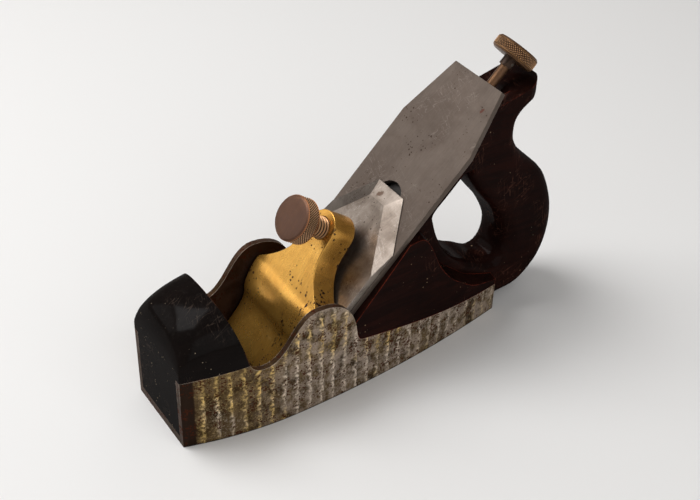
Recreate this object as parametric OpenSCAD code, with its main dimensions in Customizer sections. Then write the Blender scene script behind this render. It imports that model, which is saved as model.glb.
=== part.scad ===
// Infill smoothing plane: a bowed steel channel filled with wood, with a closed
// rear handle, a screw-down lever cap and a screw adjuster behind the cutter.
// X runs across the plane, Y along it with the toe at -Y, Z up from the sole.
// The origin is the middle of the sole's underside.

/* [Body] */
// Length of the sole
sole_l = 197; // [185:1:215]
// Thickness of the sole plate
sole_t = 4.8; // [4:0.1:6.5]
// Outside width of the body at the toe
toe_w = 48; // [44:0.5:56]
// Outside width of the body at the heel
heel_w = 37.6; // [36:0.4:48]
// Distance from the toe to the widest place
widest_from_toe = 60.5; // [52:0.5:68]
// Widest outside width of the body
body_w = 66.8; // [60:0.1:74]
// Thickness of the side plates
side_t = 3.2; // [2.6:0.1:4]
// Room between the cutter and each side at the body's widest place
side_room = 1.95; // [1.8:0.05:4]
// Height of the sides at the toe
toe_h = 42.1; // [38:0.1:46]
// Height of the low scoop behind the front grip
scoop_h = 38.6; // [34:0.1:41]
// Height of the hump beside the lever cap
hump_h = 62.2; // [58:0.1:66]
// Distance from the mouth to the top of the hump
hump_from_mouth = 26; // [23:0.5:28]
// Height of the sides just behind the hump
waist_h = 31.2; // [28:0.1:34]
// Height of the sides at the heel
heel_h = 17.2; // [15:0.1:20]
// Number of dovetails on each side
dovetails = 6; // [4:1:8]
// Width of a dovetail at its root
dovetail_w = 11; // [8:0.5:14]
// How much wider a dovetail is at the outside on each edge
dovetail_flare = 1.4; // [0.5:0.1:2.5]

/* [Mouth and bed] */
// Distance from the toe to the cutting edge
mouth_from_toe = 46.1; // [44:0.1:49]
// Angle of the bed above the sole
bed_angle = 45.5; // [44:0.5:48]
// Gap in front of the cutting edge
mouth_gap = 1.6; // [1:0.1:3]
// Height of the steel bed block behind the mouth
bed_block_h = 16; // [12:0.5:20]
// Thickness of the top of the steel bed block
bed_block_t = 4.5; // [3:0.1:7]

/* [Cutter and cap iron] */
// Thickness of the cutter
cutter_t = 3.2; // [2.4:0.1:4]
// Length of the cutter along the bed
cutter_l = 199.8; // [190:0.5:206]
// Width of the cutter at its narrow top end
cutter_top_w = 37.8; // [30:0.2:46]
// Length of the tapered top of the cutter
cutter_taper_l = 35; // [25:0.5:45]
// Grinding angle of the cutter
grind_angle = 25; // [23:1:32]
// Height of the cutting edge above the sole, measured along the bed
edge_lift = 0.3; // [0.2:0.05:0.8]
// Width of the slot in the cutter
slot_w = 11.6; // [10:0.1:13]
// Lower end of the slot, measured along the bed
slot_low = 66; // [62:0.5:72]
// Middle of the slot's round top, measured along the bed
slot_high = 123.6; // [118:0.2:126]
// Diameter of the slot's round top
keyhole_d = 18; // [15:0.2:19]
// How far the cap iron stays inside the cutter's edges on each side
cap_iron_inset = 0.35; // [0.2:0.05:1]
// Thickness of the cap iron
cap_iron_t = 3.9; // [3:0.1:4.8]
// Distance from the cutting edge to the cap iron's edge
setback = 1.5; // [1:0.1:2.5]
// Distance from the mouth to the top of the cap iron
cap_iron_top = 128.5; // [122:0.5:134]
// Width of the cap iron's narrow top edge
cap_iron_top_w = 21.4; // [16:0.2:28]
// Length of the cap iron's slanted shoulders
cap_iron_shoulder_l = 24.6; // [18:0.2:30]
// Width of the bevel round the cap iron's top
cap_iron_bevel = 8.8; // [5:0.1:11]
// Place of the cap iron screw along the bed
cap_screw_at = 88; // [84:0.5:92]
// Diameter of the cap iron screw's shank
cap_screw_d = 7.8; // [6:0.1:9]
// Diameter of the cap iron screw's head
cap_screw_head_d = 13; // [12:0.1:13.6]
// Thickness of the cap iron screw's head
cap_screw_head_t = 4.2; // [3.4:0.1:5]

/* [Lever cap] */
// Place of the lever cap's cross pin along the bed
lever_pin_at = 46; // [44:0.5:48]
// Height of the cross pin above the cutter's face
lever_pin_up = 10.5; // [10:0.1:11.5]
// Diameter of the cross pin
lever_pin_d = 6; // [5:0.1:6.6]
// Tilt of the lever cap's upper part against the bed
lever_tilt = 8.4; // [7:0.1:9.4]
// Place of the clamping screw along the bed
lever_screw_at = 95.9; // [93:0.1:98]
// Thickness of the lever cap's upper part
lever_t = 15.1; // [13:0.1:16]
// Height of the lever cap's back face above the cap iron
lever_rise = 6; // [5.6:0.1:7]
// How far the lever cap stays inside the cutter's edges on each side
lever_inset = 0.25; // [0.1:0.05:2]
// Width of the lever cap's round top
lever_top_w = 19.4; // [18:0.2:21]
// Length of the lever cap's straight neck
lever_neck_l = 9; // [7:0.5:12]
// Length of the lever cap's flared shoulders
lever_flare_l = 25; // [22:0.5:28]
// Place of the lever cap's lip along the bed
lip_at = 12; // [11.5:0.1:14]
// Diameter of the clamping screw's thread
thumb_thread_d = 11.5; // [10:0.1:12.4]
// Pitch of the clamping screw's thread
thumb_pitch = 2; // [1.5:0.1:2.5]
// Diameter of the clamping screw's knob
thumb_knob_d = 24; // [21:0.2:27]
// Thickness of the clamping screw's knob
thumb_knob_t = 9; // [7:0.1:11]
// Bare thread between the lever cap and the knob
thumb_reach = 12.4; // [9:0.1:15]
// Diameter of the pad under the clamping screw
pad_d = 10.4; // [9:0.1:11]
// Thickness of the pad under the clamping screw
pad_t = 3.4; // [3:0.1:4]

/* [Screw adjuster] */
// Depth of the adjuster's axis below the cutter's face
spindle_down = 11.4; // [11:0.1:12]
// Diameter of the adjuster's spindle
spindle_d = 5.3; // [4.6:0.1:6]
// Diameter of the adjuster's screw thread
feed_thread_d = 5; // [4.4:0.1:5.2]
// Pitch of the adjuster's screw thread
feed_pitch = 1; // [0.7:0.05:1.25]
// Lower end of the spindle, measured along the bed
spindle_low = 112; // [109:0.5:114]
// Upper end of the screw thread, measured along the bed
feed_thread_top = 142; // [140:0.5:150]
// Place of the adjuster's knob along the bed
knob_at = 217.5; // [214:0.5:222]
// Diameter of the adjuster's knob
knob_d = 24.6; // [21:0.2:26]
// Thickness of the adjuster's knob
knob_t = 7; // [5.5:0.1:9]
// Diameter of the collar under the knob
knob_collar_d = 7.2; // [7:0.1:9]
// Length of the collar under the knob
knob_collar_l = 5; // [4:0.1:7]
// Place of the swivel along the bed
swivel_at = 172; // [168:0.5:174]
// Diameter of the swivel barrel
swivel_d = 13; // [12:0.1:13.6]
// Width across the flats of the swivel barrel
swivel_flats = 11; // [9:0.1:11.6]
// Diameter of the swivel's pivot
swivel_pivot_d = 6; // [5:0.1:7]
// Thickness of the plate under the swivel
swivel_plate_t = 2; // [1.6:0.1:2.6]
// Length of the plate under the swivel
swivel_plate_l = 27; // [25:0.5:30]
// Width of the plate under the swivel
swivel_plate_w = 14; // [12:0.5:15]
// Length of each collar on the spindle
stop_collar_l = 3; // [2:0.1:4]
// Diameter of each collar on the spindle
stop_collar_d = 8.6; // [8:0.1:9.4]
// Length of the carriage's nut
nut_l = 14; // [12:0.5:15]
// Width of the carriage's nut
nut_w = 12; // [10:0.1:13]
// Wall of the carriage's ring
ring_wall = 2.6; // [2:0.1:2.8]
// Thickness of the carriage's ring
ring_t = 4; // [3.4:0.1:4.4]

/* [Wood] */
// Height of the front grip at its crown
bun_h = 71.2; // [67:0.2:75]
// Height at which the front grip's front starts to curve
bun_front_h = 45; // [42:0.5:50]
// Slope of the front grip's rear face, run for each unit of height
bun_rear_slope = 0.25; // [0.2:0.01:0.26]
// Height at which the front grip's shoulders start to round
bun_shoulder_h = 47; // [44:0.5:52]
// Thickness of the rear handle
tote_w = 28; // [27.6:0.1:30]
// Rounding of the rear handle's edges
tote_round = 9; // [6:0.25:10]
// Thickness of the handle's front web under the cutter
web_t = 20; // [18.6:0.2:21]
// Place along the bed where the handle's top meets it
tote_top_at = 181.4; // [178:0.2:184]
// Height of the handle's finger opening above the sole
grip_floor_h = 28; // [26:0.5:30]
// How far the handle reaches behind the heel
grip_reach = 43.6; // [42:0.2:46]
// Depth of the fingers' grip at its thickest
grip_depth = 35.4; // [34:0.2:37]
// Place along the bed where the cheeks end
cheek_top_at = 119.5; // [116:0.5:122]
// Height of the cheeks at the heel
cheek_heel_h = 22.4; // [20:0.1:24]
// Fall of the cheeks' tops towards the outside, for each unit of width
cheek_fall = 0.3; // [0.1:0.02:0.4]
// Radius of the horn's rounded end
horn_r = 14.6; // [12:0.1:16]
// Slope of the handle's flat top
horn_slope = 0.24; // [0.16:0.01:0.28]

/* [Fastenings] */
// Diameter of the cross rivets
rivet_d = 5; // [4:0.1:6]
// Distance from the toe to the cross rivet in the front grip
grip_rivet_at = 18; // [12:0.5:22]
// Height of the cross rivet in the front grip
grip_rivet_h = 22; // [16:0.5:28]
// Distance from the mouth to the cross rivet in the middle
middle_rivet_at = 62; // [56:0.5:70]
// Height of the cross rivet in the middle
middle_rivet_h = 14; // [12:0.5:18]
// Distance from the heel to the last cross rivet
heel_rivet_at = 30; // [24:0.5:36]
// Height of the last cross rivet
heel_rivet_h = 11; // [9:0.5:13]
// Diameter of the sole screws
sole_screw_d = 4.5; // [4:0.1:5.5]
// Length of the sole screws
sole_screw_l = 17; // [14:0.5:19]
// Distance from the toe to the front grip's screw
grip_screw_at = 30; // [27:0.5:33]
// Distance from the mouth to the handle's front screw
middle_screw_at = 80; // [74:0.5:86]
// Distance from the heel to the handle's rear screw
heel_screw_at = 14; // [10:0.5:20]
// Diameter of the bed block's rivets
bed_rivet_d = 4; // [3:0.1:5]
// Steel left between those rivets and the bed
bed_rivet_cover = 1; // [0.6:0.1:2]

/* [Clearances] */
// Running clearance of a round fit, on the radius
run_fit = 0.05; // [0.02:0.01:0.1]
// Clearance of a fixed fit, on the radius
still_fit = 0.02; // [0.01:0.01:0.05]
// Gap between flat faces that slide on each other
slide_gap = 0.06; // [0.03:0.01:0.1]
// Gap between a moving piece and its surroundings
free_gap = 0.35; // [0.3:0.05:0.5]
// Sideways swing of the adjuster to each side, in degrees
swing = 0.8; // [0.5:0.1:0.9]
// Travel of the carriage up the bed
feed_up = 4; // [2:0.5:5]
// Travel of the carriage down the bed
feed_down = 1; // [0.5:0.25:1.5]

/* [Hidden] */
round_fn = 96;
arc_fn = 360;
over = 1;

toe_y = -sole_l / 2;
heel_y = sole_l / 2;
mouth_y = toe_y + mouth_from_toe;
widest_y = toe_y + widest_from_toe;
bed_off = -cutter_t - slide_gap;
function arc_radius(run, drop) = (run * run + drop * drop) / (2 * drop);
cutter_w = body_w - 2 * (side_t + side_room);
cap_iron_w = cutter_w - 2 * cap_iron_inset;
lever_w = cutter_w - 2 * lever_inset;
front_r = arc_radius(widest_from_toe, (body_w - toe_w) / 2);
rear_r = arc_radius(heel_y - widest_y, (body_w - heel_w) / 2);
// Half of the outside width at a place along the plane
function half_w(y) = let (r = y < widest_y ? front_r : rear_r)
    body_w / 2 - r + sqrt(r * r - (y - widest_y) * (y - widest_y));
// A place given along and above the cutter's upper face, as [Y, Z]
function bed_pt(along, up) = [mouth_y + along * cos(bed_angle) - up * sin(bed_angle),
    along * sin(bed_angle) + up * cos(bed_angle)];
// Where a plane parallel to the bed reaches a height
function bed_y(z, up) = mouth_y + (z - up * cos(bed_angle)) / tan(bed_angle) - up * sin(bed_angle);

// A smooth curve through points of any number of values
function through(a, b, c, d, t) = 0.5 * (2 * b + (c - a) * t + (2 * a - 5 * b + 4 * c - d) * t * t
    + (3 * b - a - 3 * c + d) * t * t * t);
function spline(p, n) = concat([for (i = [0 : len(p) - 2], j = [0 : n - 1])
    through(p[max(i - 1, 0)], p[i], p[i + 1], p[min(i + 2, len(p) - 1)], j / n)], [p[len(p) - 1]]);
// A bend between two points, pulled towards two others
function bend(a, b, c, d, n) = [for (i = [0 : n]) let (t = i / n, u = 1 - t)
    u * u * u * a + 3 * u * u * t * b + 3 * u * t * t * c + t * t * t * d];
// Outward direction of a counter-clockwise loop at one of its points
function outward(p, i) = let (n = len(p), d = p[(i + 1) % n] - p[(i + n - 1) % n], l = norm([d[0], d[1]]))
    [d[1] / l, -d[0] / l];

// Moves children from bed coordinates, X across, Y along, Z up from the cutter's face
module on_bed() {
    translate([0, mouth_y, 0]) rotate([bed_angle, 0, 0]) children();
}
// Extrudes a Y-Z outline across the plane
module across(width) {
    rotate([90, 0, 90]) translate([0, 0, -width / 2]) linear_extrude(width) children();
}
// The bowed outline of the body seen from above, inset from the outer faces
module plan_outline(inset = 0) {
    intersection() {
        translate([body_w / 2 - front_r, widest_y]) circle(r = front_r - inset, $fn = arc_fn);
        translate([front_r - body_w / 2, widest_y]) circle(r = front_r - inset, $fn = arc_fn);
        translate([-body_w, toe_y]) square([2 * body_w, widest_y - toe_y]);
    }
    intersection() {
        translate([body_w / 2 - rear_r, widest_y]) circle(r = rear_r - inset, $fn = arc_fn);
        translate([rear_r - body_w / 2, widest_y]) circle(r = rear_r - inset, $fn = arc_fn);
        translate([-body_w, widest_y]) square([2 * body_w, heel_y - widest_y]);
    }
}

// Side plate outline in Y-Z, with the scoop, the hump and the falling rear edge
hump_y = mouth_y + hump_from_mouth;
scoop_y = mouth_y - 4.1;
bun_foot_y = mouth_y - mouth_gap - 0.4;
function bun_rear_y(z) = bun_foot_y - bun_rear_slope * (z - sole_t);
step_h = toe_h + 1.2;
step_y = bun_rear_y(step_h);
side_curve = concat(
    bend([step_y, step_h], [step_y + 2, scoop_h], [scoop_y - 2, scoop_h], [scoop_y, scoop_h], 6),
    bend([scoop_y, scoop_h], [hump_y - 16.5, scoop_h], [hump_y - 13.5, hump_h], [hump_y, hump_h], 14),
    bend([hump_y, hump_h], [hump_y + 17, hump_h], [hump_y + 22, hump_h - 12], [hump_y + 23.4, waist_h + 7], 12),
    bend([hump_y + 23.4, waist_h + 7], [hump_y + 24, waist_h + 2], [hump_y + 25, waist_h + 0.6],
        [hump_y + 28.5, waist_h], 5),
    bend([hump_y + 28.5, waist_h], [hump_y + 62, waist_h - 6], [heel_y - 40, heel_h + 1.6], [heel_y, heel_h], 8));
module side_outline() {
    polygon(concat([[toe_y, 0], [toe_y, toe_h]], side_curve, [[heel_y, 0]]));
}
// Both side plates together as plain blanks, with extra thickness outside if asked
module side_blanks(extra = 0) {
    intersection() {
        across(2 * body_w) side_outline();
        linear_extrude(2 * hump_h) difference() {
            plan_outline(-extra);
            plan_outline(side_t);
        }
    }
}
module half_space(side) {
    translate([side > 0 ? 0 : -2 * body_w, -sole_l, -sole_l]) cube([2 * body_w, 3 * sole_l, 3 * sole_l]);
}
// The dovetails as they lie in the sole, grown by a gap when they cut their sockets
dovetail_pitch = sole_l / dovetails;
module dovetail_shapes(gap = 0) {
    for (i = [0 : dovetails - 1], side = [-1, 1]) {
        y = toe_y + dovetail_pitch * (i + 0.5);
        near = half_w(y) - side_t - over;
        far = half_w(y) + over;
        root = dovetail_w / 2 + gap;
        tip = root + dovetail_flare;
        polygon([[side * near, y - root], [side * far, y - tip], [side * far, y + tip], [side * near, y + root]]);
    }
}
module rivet_bars(gap = 0) {
    for (p = rivet_places)
        translate([-body_w, p[0], p[1]]) rotate([0, 90, 0])
            cylinder(h = 2 * body_w, d = rivet_d + 2 * gap, $fn = round_fn);
}
rivet_places = [[toe_y + grip_rivet_at, grip_rivet_h], [mouth_y + middle_rivet_at, middle_rivet_h],
    [heel_y - heel_rivet_at, heel_rivet_h]];
module lever_pin_bar(gap = 0) {
    p = bed_pt(lever_pin_at, lever_pin_up);
    translate([-body_w, p[0], p[1]]) rotate([0, 90, 0])
        cylinder(h = 2 * body_w, d = lever_pin_d + 2 * gap, $fn = round_fn);
}

module side_plate(side) {
    color("darkkhaki") difference() {
        intersection() {
            side_blanks();
            half_space(side);
        }
        translate([0, 0, -over]) linear_extrude(sole_t + over + still_fit) dovetail_shapes(still_fit);
        rivet_bars(still_fit);
        lever_pin_bar(still_fit);
    }
}
module left_side() { side_plate(-1); }
module right_side() { side_plate(1); }

// Sole plate with its dovetails, the mouth and the screw holes
screw_places = [toe_y + grip_screw_at, mouth_y + middle_screw_at, heel_y - heel_screw_at];
module mouth_cut() {
    slot_half = cutter_w / 2 + free_gap;
    across(2 * slot_half) polygon([[mouth_y - mouth_gap, -over], [mouth_y - mouth_gap, sole_t + over],
        [bed_y(sole_t + over, bed_off - slide_gap), sole_t + over],
        [bed_y(-over, bed_off - slide_gap), -over]]);
}
module sole_screw_shapes(gap = 0) {
    head_h = sole_screw_d / 2;
    for (y = screw_places)
        translate([0, y, 0]) {
            cylinder(h = head_h, r1 = sole_screw_d + gap, r2 = sole_screw_d / 2 + gap, $fn = round_fn);
            translate([0, 0, head_h / 2])
                cylinder(h = sole_screw_l - head_h / 2 + gap, r = sole_screw_d / 2 + gap, $fn = round_fn);
        }
}
bed_rivet_x = [-20, 0, 20];
bed_rivet_y = bed_y(sole_t, bed_off) + bed_block_h / 2 + 1;
bed_rivet_top = sole_t + (bed_rivet_y - bed_rivet_d / 2 - bed_y(sole_t, bed_off)) * tan(bed_angle)
    - bed_rivet_cover;
module bed_rivet_bars(gap = 0, top) {
    for (x = bed_rivet_x)
        translate([x, bed_rivet_y, 0]) cylinder(h = top, d = bed_rivet_d + 2 * gap, $fn = round_fn);
}
module sole_plate() {
    color("gray") difference() {
        linear_extrude(sole_t) union() {
            plan_outline(side_t + still_fit);
            intersection() {
                plan_outline();
                dovetail_shapes();
            }
        }
        mouth_cut();
        sole_screw_shapes(still_fit);
        translate([0, 0, -over]) bed_rivet_bars(still_fit, sole_t + 2 * over);
    }
}

// Steel block that carries the cutter just behind the mouth
bed_block_end = bed_y(bed_block_h, bed_off) + bed_block_t;
module bed_block_blank() {
    across(body_w) polygon([[bed_y(sole_t, bed_off), sole_t], [bed_block_end, sole_t],
        [bed_block_end, bed_block_h], [bed_y(bed_block_h, bed_off), bed_block_h]]);
}
// The room for the block in the wood, open to the front and below
module bed_block_room() {
    across(2 * body_w) translate([bed_block_end - body_w, -over]) square([body_w, bed_block_h + over]);
}
module bed_block() {
    color("dimgray") difference() {
        intersection() {
            bed_block_blank();
            linear_extrude(2 * bed_block_h) plan_outline(side_t + still_fit);
        }
        bed_rivet_bars(still_fit, bed_rivet_top + still_fit);
    }
}
module bed_rivets() {
    color("silver") bed_rivet_bars(0, bed_rivet_top);
}
module stuffing_rivets() {
    color("gray") intersection() {
        rivet_bars();
        linear_extrude(hump_h) plan_outline();
    }
}
module sole_screws() {
    color("gray") difference() {
        sole_screw_shapes();
        for (y = screw_places)
            translate([-sole_screw_d, y - 0.5, -over]) cube([2 * sole_screw_d, 1, over + 0.8]);
    }
}
module lever_cap_pin() {
    color("gray") intersection() {
        lever_pin_bar();
        linear_extrude(2 * hump_h) plan_outline();
    }
}

// Front grip: rings of points from the toe to the sloping rear face
bun_rings = 18;
bun_arc = 20;
bun_crown_y = bun_rear_y(bun_h);
bun_top_curve = concat(
    bend([0, bun_front_h], [0, bun_front_h + 10], [0.04, bun_h - 10.5], [0.17, bun_h - 7], 9),
    [for (p = bend([0.17, bun_h - 7], [0.36, bun_h - 2.4], [0.7, bun_h - 0.4], [1, bun_h], 9)) p]);
function bun_ring(run, top) = let (low = min(bun_shoulder_h, top - 2))
    [for (i = [0 : bun_arc + 2])
        let (a = 180 * (i - 1) / bun_arc, side = i == 0 || i == bun_arc + 2,
            z = side ? sole_t : low + (top - low) * pow(max(sin(a), 0), 0.8),
            y = toe_y + run * (bun_rear_y(z) - toe_y),
            w = half_w(y),
            c = side ? (i == 0 ? 1 : -1) : sign(cos(a)) * pow(abs(cos(a)), 0.8))
        [w * c, y, z]];
bun_stations = [for (p = bun_top_curve) bun_ring(p[0], p[1])];
module lofted(rings) {
    n = len(rings[0]);
    m = len(rings);
    polyhedron(
        points = [for (r = rings, p = r) p],
        faces = concat([[for (i = [n - 1 : -1 : 0]) i]], [[for (i = [0 : n - 1]) (m - 1) * n + i]],
            [for (j = [0 : m - 2], i = [0 : n - 1]) let (k = (i + 1) % n)
                [j * n + i, j * n + k, (j + 1) * n + k, (j + 1) * n + i]]),
        convexity = 6);
}
module front_bun() {
    color("#241d1a") difference() {
        lofted(bun_stations);
        side_blanks(over);
        rivet_bars(still_fit);
        sole_screw_shapes(still_fit);
    }
}

// Cheeks: wood on each side of the handle, flush with the steel above its edge
cheek_lean = atan(cheek_fall);
cheek_start = bed_pt(cheek_top_at, bed_off);
cheek_drawn_run = 64.82;
cheek_stretch = (heel_y - cheek_start[0]) / cheek_drawn_run;
function cheek_pt(before_heel, z) = [heel_y - before_heel * cheek_stretch, z];
cheek_curve = spline([cheek_start, cheek_pt(61, cheek_start[1] - 0.6), cheek_pt(57.8, cheek_start[1] - 3.1),
    cheek_pt(55.2, 76), cheek_pt(52.7, 71.2), cheek_pt(50.5, 66.2), cheek_pt(45.6, 56.2),
    cheek_pt(37.6, 45.2), cheek_pt(28, 36.6), cheek_pt(16.7, 28.3), [heel_y + 3, cheek_heel_h - 1.1]], 4);
module cheek(side) {
    color("#3a2019") difference() {
        intersection() {
            half_space(side);
            linear_extrude(3 * hump_h) plan_outline();
            across(2 * body_w) polygon([[heel_y + over, sole_t], [bed_y(sole_t, bed_off), sole_t],
                bed_pt(cheek_top_at + 5, bed_off), [heel_y + over, bed_pt(cheek_top_at + 5, bed_off)[1]]]);
            // The tops fall towards the outside, so their outline is swept along a leaning line
            translate([side * tote_w / 2, 0, 0]) rotate([0, side * cheek_lean, 0]) across(3 * body_w)
                polygon(concat([for (p = cheek_curve) [p[0], p[1] * cos(cheek_lean)]],
                    [[heel_y + 3, -body_w], [toe_y, -body_w],
                    [toe_y, bed_pt(cheek_top_at, bed_off)[1] * cos(cheek_lean)]]));
        }
        across(tote_w) translate([toe_y, -over]) square([sole_l + over, 3 * hump_h]);
        side_blanks(over);
        bed_block_room();
        rivet_bars(still_fit);
    }
}
module left_cheek() { cheek(-1); }
module right_cheek() { cheek(1); }

// Rear handle. Each outline point holds Y, Z and the rounding of its edge
top_pt = bed_pt(tote_top_at, bed_off);
function from_top(y, z, r) = [top_pt[0] + y, top_pt[1] + z, r];
function from_heel(y, z, r) = [heel_y + y, z, r];
full = tote_round;
tote_loop = concat(
    [[bed_y(sole_t, bed_off), sole_t, 0], from_heel(0, sole_t, 0)],
    spline([from_heel(6, sole_t, 0.4 * full), from_heel(grip_reach - 25.9, sole_t, 0.6 * full),
        from_heel(grip_reach - 18.4, sole_t + 1.8, 0.8 * full),
        from_heel(grip_reach - 11.4, sole_t + 6, full), from_heel(grip_reach - 5.9, 17.5, full),
        from_heel(grip_reach - 2.1, 26.3, full), from_heel(grip_reach - 0.1, 37, full),
        from_heel(grip_reach, 47.5, full), from_heel(grip_reach - 1.7, 58, full),
        from_heel(grip_reach - 5.2, 67.8, full), from_heel(grip_reach - 10, 77, full),
        from_heel(grip_reach - 16.5, 84, full), from_heel(grip_reach - 23.9, 91.2, full),
        from_heel(grip_reach - 31.3, 99, 0.8 * full), from_top(29.7, -20.3, 0.7 * full),
        from_top(28.8, -13.3, 0.6 * full), from_top(29.2, -8.7, 0.5 * full),
        from_top(31.5, -4.6, 0.4 * full), from_top(35.4, -1, 0.3 * full), from_top(40.4, 3, 0.2 * full),
        from_top(44.4, 6.8, 0.1 * full), from_top(45.9, 9.6, 0.05 * full)], 3),
    [from_top(44.4, horn_slope * 44.4 - 0.1, 0.05 * full), from_top(0.1, 0.1, 0.1 * full)]);
// Finger opening. Each point holds Y, Z and the flare of its edge
hole_front = grip_reach - grip_depth;
hole_flare = 2.5;
grip_flare = 9;
function bed_edge(along, up, r) = concat(bed_pt(along, up), [r]);
hole_loop = spline([bed_edge(156, -web_t - cutter_t - 1, 4), bed_edge(143, -web_t - cutter_t, hole_flare),
    bed_edge(131, -web_t - cutter_t, hole_flare), from_heel(-42.2, 71, hole_flare),
    from_heel(-39.3, 61.5, hole_flare), from_heel(-34.5, 52, hole_flare), from_heel(-27.5, 43.5, 3.5),
    from_heel(-18.5, grip_floor_h + 8.5, 5), from_heel(-10.5, grip_floor_h + 5, 6),
    from_heel(-3.5, grip_floor_h + 1.3, 7), from_heel(2, grip_floor_h, 8),
    from_heel(hole_front - 1.9, grip_floor_h + 2.5, grip_flare),
    from_heel(hole_front + 0.6, grip_floor_h + 8.5, grip_flare),
    from_heel(hole_front + 0.3, grip_floor_h + 16.5, grip_flare),
    from_heel(hole_front - 2.9, grip_floor_h + 25.3, grip_flare),
    from_heel(hole_front - 8.5, grip_floor_h + 35.3, 0.9 * grip_flare),
    from_heel(hole_front - 14.7, grip_floor_h + 43.3, 0.8 * grip_flare),
    from_heel(hole_front - 21.2, grip_floor_h + 52, 0.7 * grip_flare),
    from_heel(hole_front - 27.4, grip_floor_h + 62, 0.6 * grip_flare),
    bed_edge(160, -web_t - cutter_t - 4.6, 0.5 * grip_flare)], 3);
round_steps = 4;
// Layers of a loop from one face to the other, with its edges rounded in or flared out
function slab_layers(loop, width, turn) = [for (side = [1, -1], k = [0 : round_steps])
    let (j = side > 0 ? k : round_steps - k, a = 90 * j / round_steps)
    [for (i = [0 : len(loop) - 1])
        let (p = loop[i], o = outward(loop, i), r = p[2], d = turn * r * (1 - sin(a)))
        [side * (width / 2 - r * (1 - cos(a))), p[0] - o[0] * d, p[1] - o[1] * d]]];
// The same, run on straight past both faces
module slab_through(loop, turn) {
    body = slab_layers(loop, tote_w + 0.1, turn);
    last = len(body) - 1;
    lofted(concat([[for (p = body[0]) [p[0] + over, p[1], p[2]]]], body,
        [[for (p = body[last]) [p[0] - over, p[1], p[2]]]]));
}
module tote_blank() {
    intersection() {
        slab_through(tote_loop, 1);
        across(tote_w) translate([toe_y, -over]) square([2 * sole_l, 4 * hump_h]);
    }
}
// Everything outside the horn's rounded end, seen from above
module horn_trim() {
    reach = top_pt[0] + 45.7 - horn_r;
    translate([0, 0, top_pt[1] - 9.5]) linear_extrude(40) difference() {
        translate([-tote_w, reach]) square([2 * tote_w, 40]);
        translate([0, reach]) circle(r = horn_r, $fn = 72);
    }
}
// The recess for the adjuster, sunk into the bed face of the handle
ring_out = cap_screw_head_d / 2 + run_fit + ring_wall;
side_travel = (swivel_at - cap_screw_at) * sin(swing);
recess_half = ring_out + side_travel + free_gap;
recess_low = cap_screw_at - ring_out - feed_down - free_gap - 0.5;
nut_floor = -spindle_down - nut_w / 2 - free_gap;
nut_low = 118;
nut_top = nut_low + nut_l;
nut_recess_low = spindle_low - 2;
barrel_floor = nut_floor;
module adjuster_recess() {
    on_bed() {
        translate([-recess_half, recess_low, -cutter_t - ring_t - 2])
            cube([2 * recess_half, nut_top - recess_low, ring_t + 2 + over]);
        translate([-recess_half, nut_recess_low, nut_floor])
            cube([2 * recess_half, nut_top + feed_up + 3 - nut_recess_low, over - nut_floor]);
        translate([-swivel_d / 2 - 1, nut_top, nut_floor])
            cube([swivel_d + 2, cutter_l - nut_top + 20, over - nut_floor]);
        translate([-swivel_plate_w / 2 - still_fit, swivel_at - swivel_plate_l / 2 - still_fit,
            barrel_floor - swivel_plate_t - slide_gap])
            cube([swivel_plate_w + 2 * still_fit, swivel_plate_l + 2 * still_fit, swivel_plate_t + over]);
        swivel_screw_shapes(still_fit);
    }
}
module tote() {
    color("#3a2019") difference() {
        tote_blank();
        slab_through(hole_loop, -1);
        horn_trim();
        bed_block_room();
        rivet_bars(still_fit);
        sole_screw_shapes(still_fit);
        adjuster_recess();
    }
}

// Cutter with its ground edge, tapered top and keyhole slot
module cutting_iron() {
    color("slategray") on_bed() difference() {
        intersection() {
            across(cutter_w) polygon([[edge_lift, 0], [edge_lift + cutter_t / tan(grind_angle), -cutter_t],
                [cutter_l + edge_lift, -cutter_t], [cutter_l + edge_lift, 0]]);
            translate([0, 0, -2 * cutter_t]) linear_extrude(3 * cutter_t) polygon([
                [-cutter_w / 2, 0], [cutter_w / 2, 0],
                [cutter_w / 2, cutter_l - cutter_taper_l], [cutter_top_w / 2, cutter_l + edge_lift + 0.01],
                [-cutter_top_w / 2, cutter_l + edge_lift + 0.01], [-cutter_w / 2, cutter_l - cutter_taper_l]]);
        }
        translate([0, 0, -2 * cutter_t]) linear_extrude(3 * cutter_t) {
            translate([-slot_w / 2, slot_low]) square([slot_w, slot_high - slot_low]);
            translate([0, slot_low]) circle(d = slot_w, $fn = round_fn);
            translate([0, slot_high]) circle(d = keyhole_d, $fn = round_fn);
        }
    }
}

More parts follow.
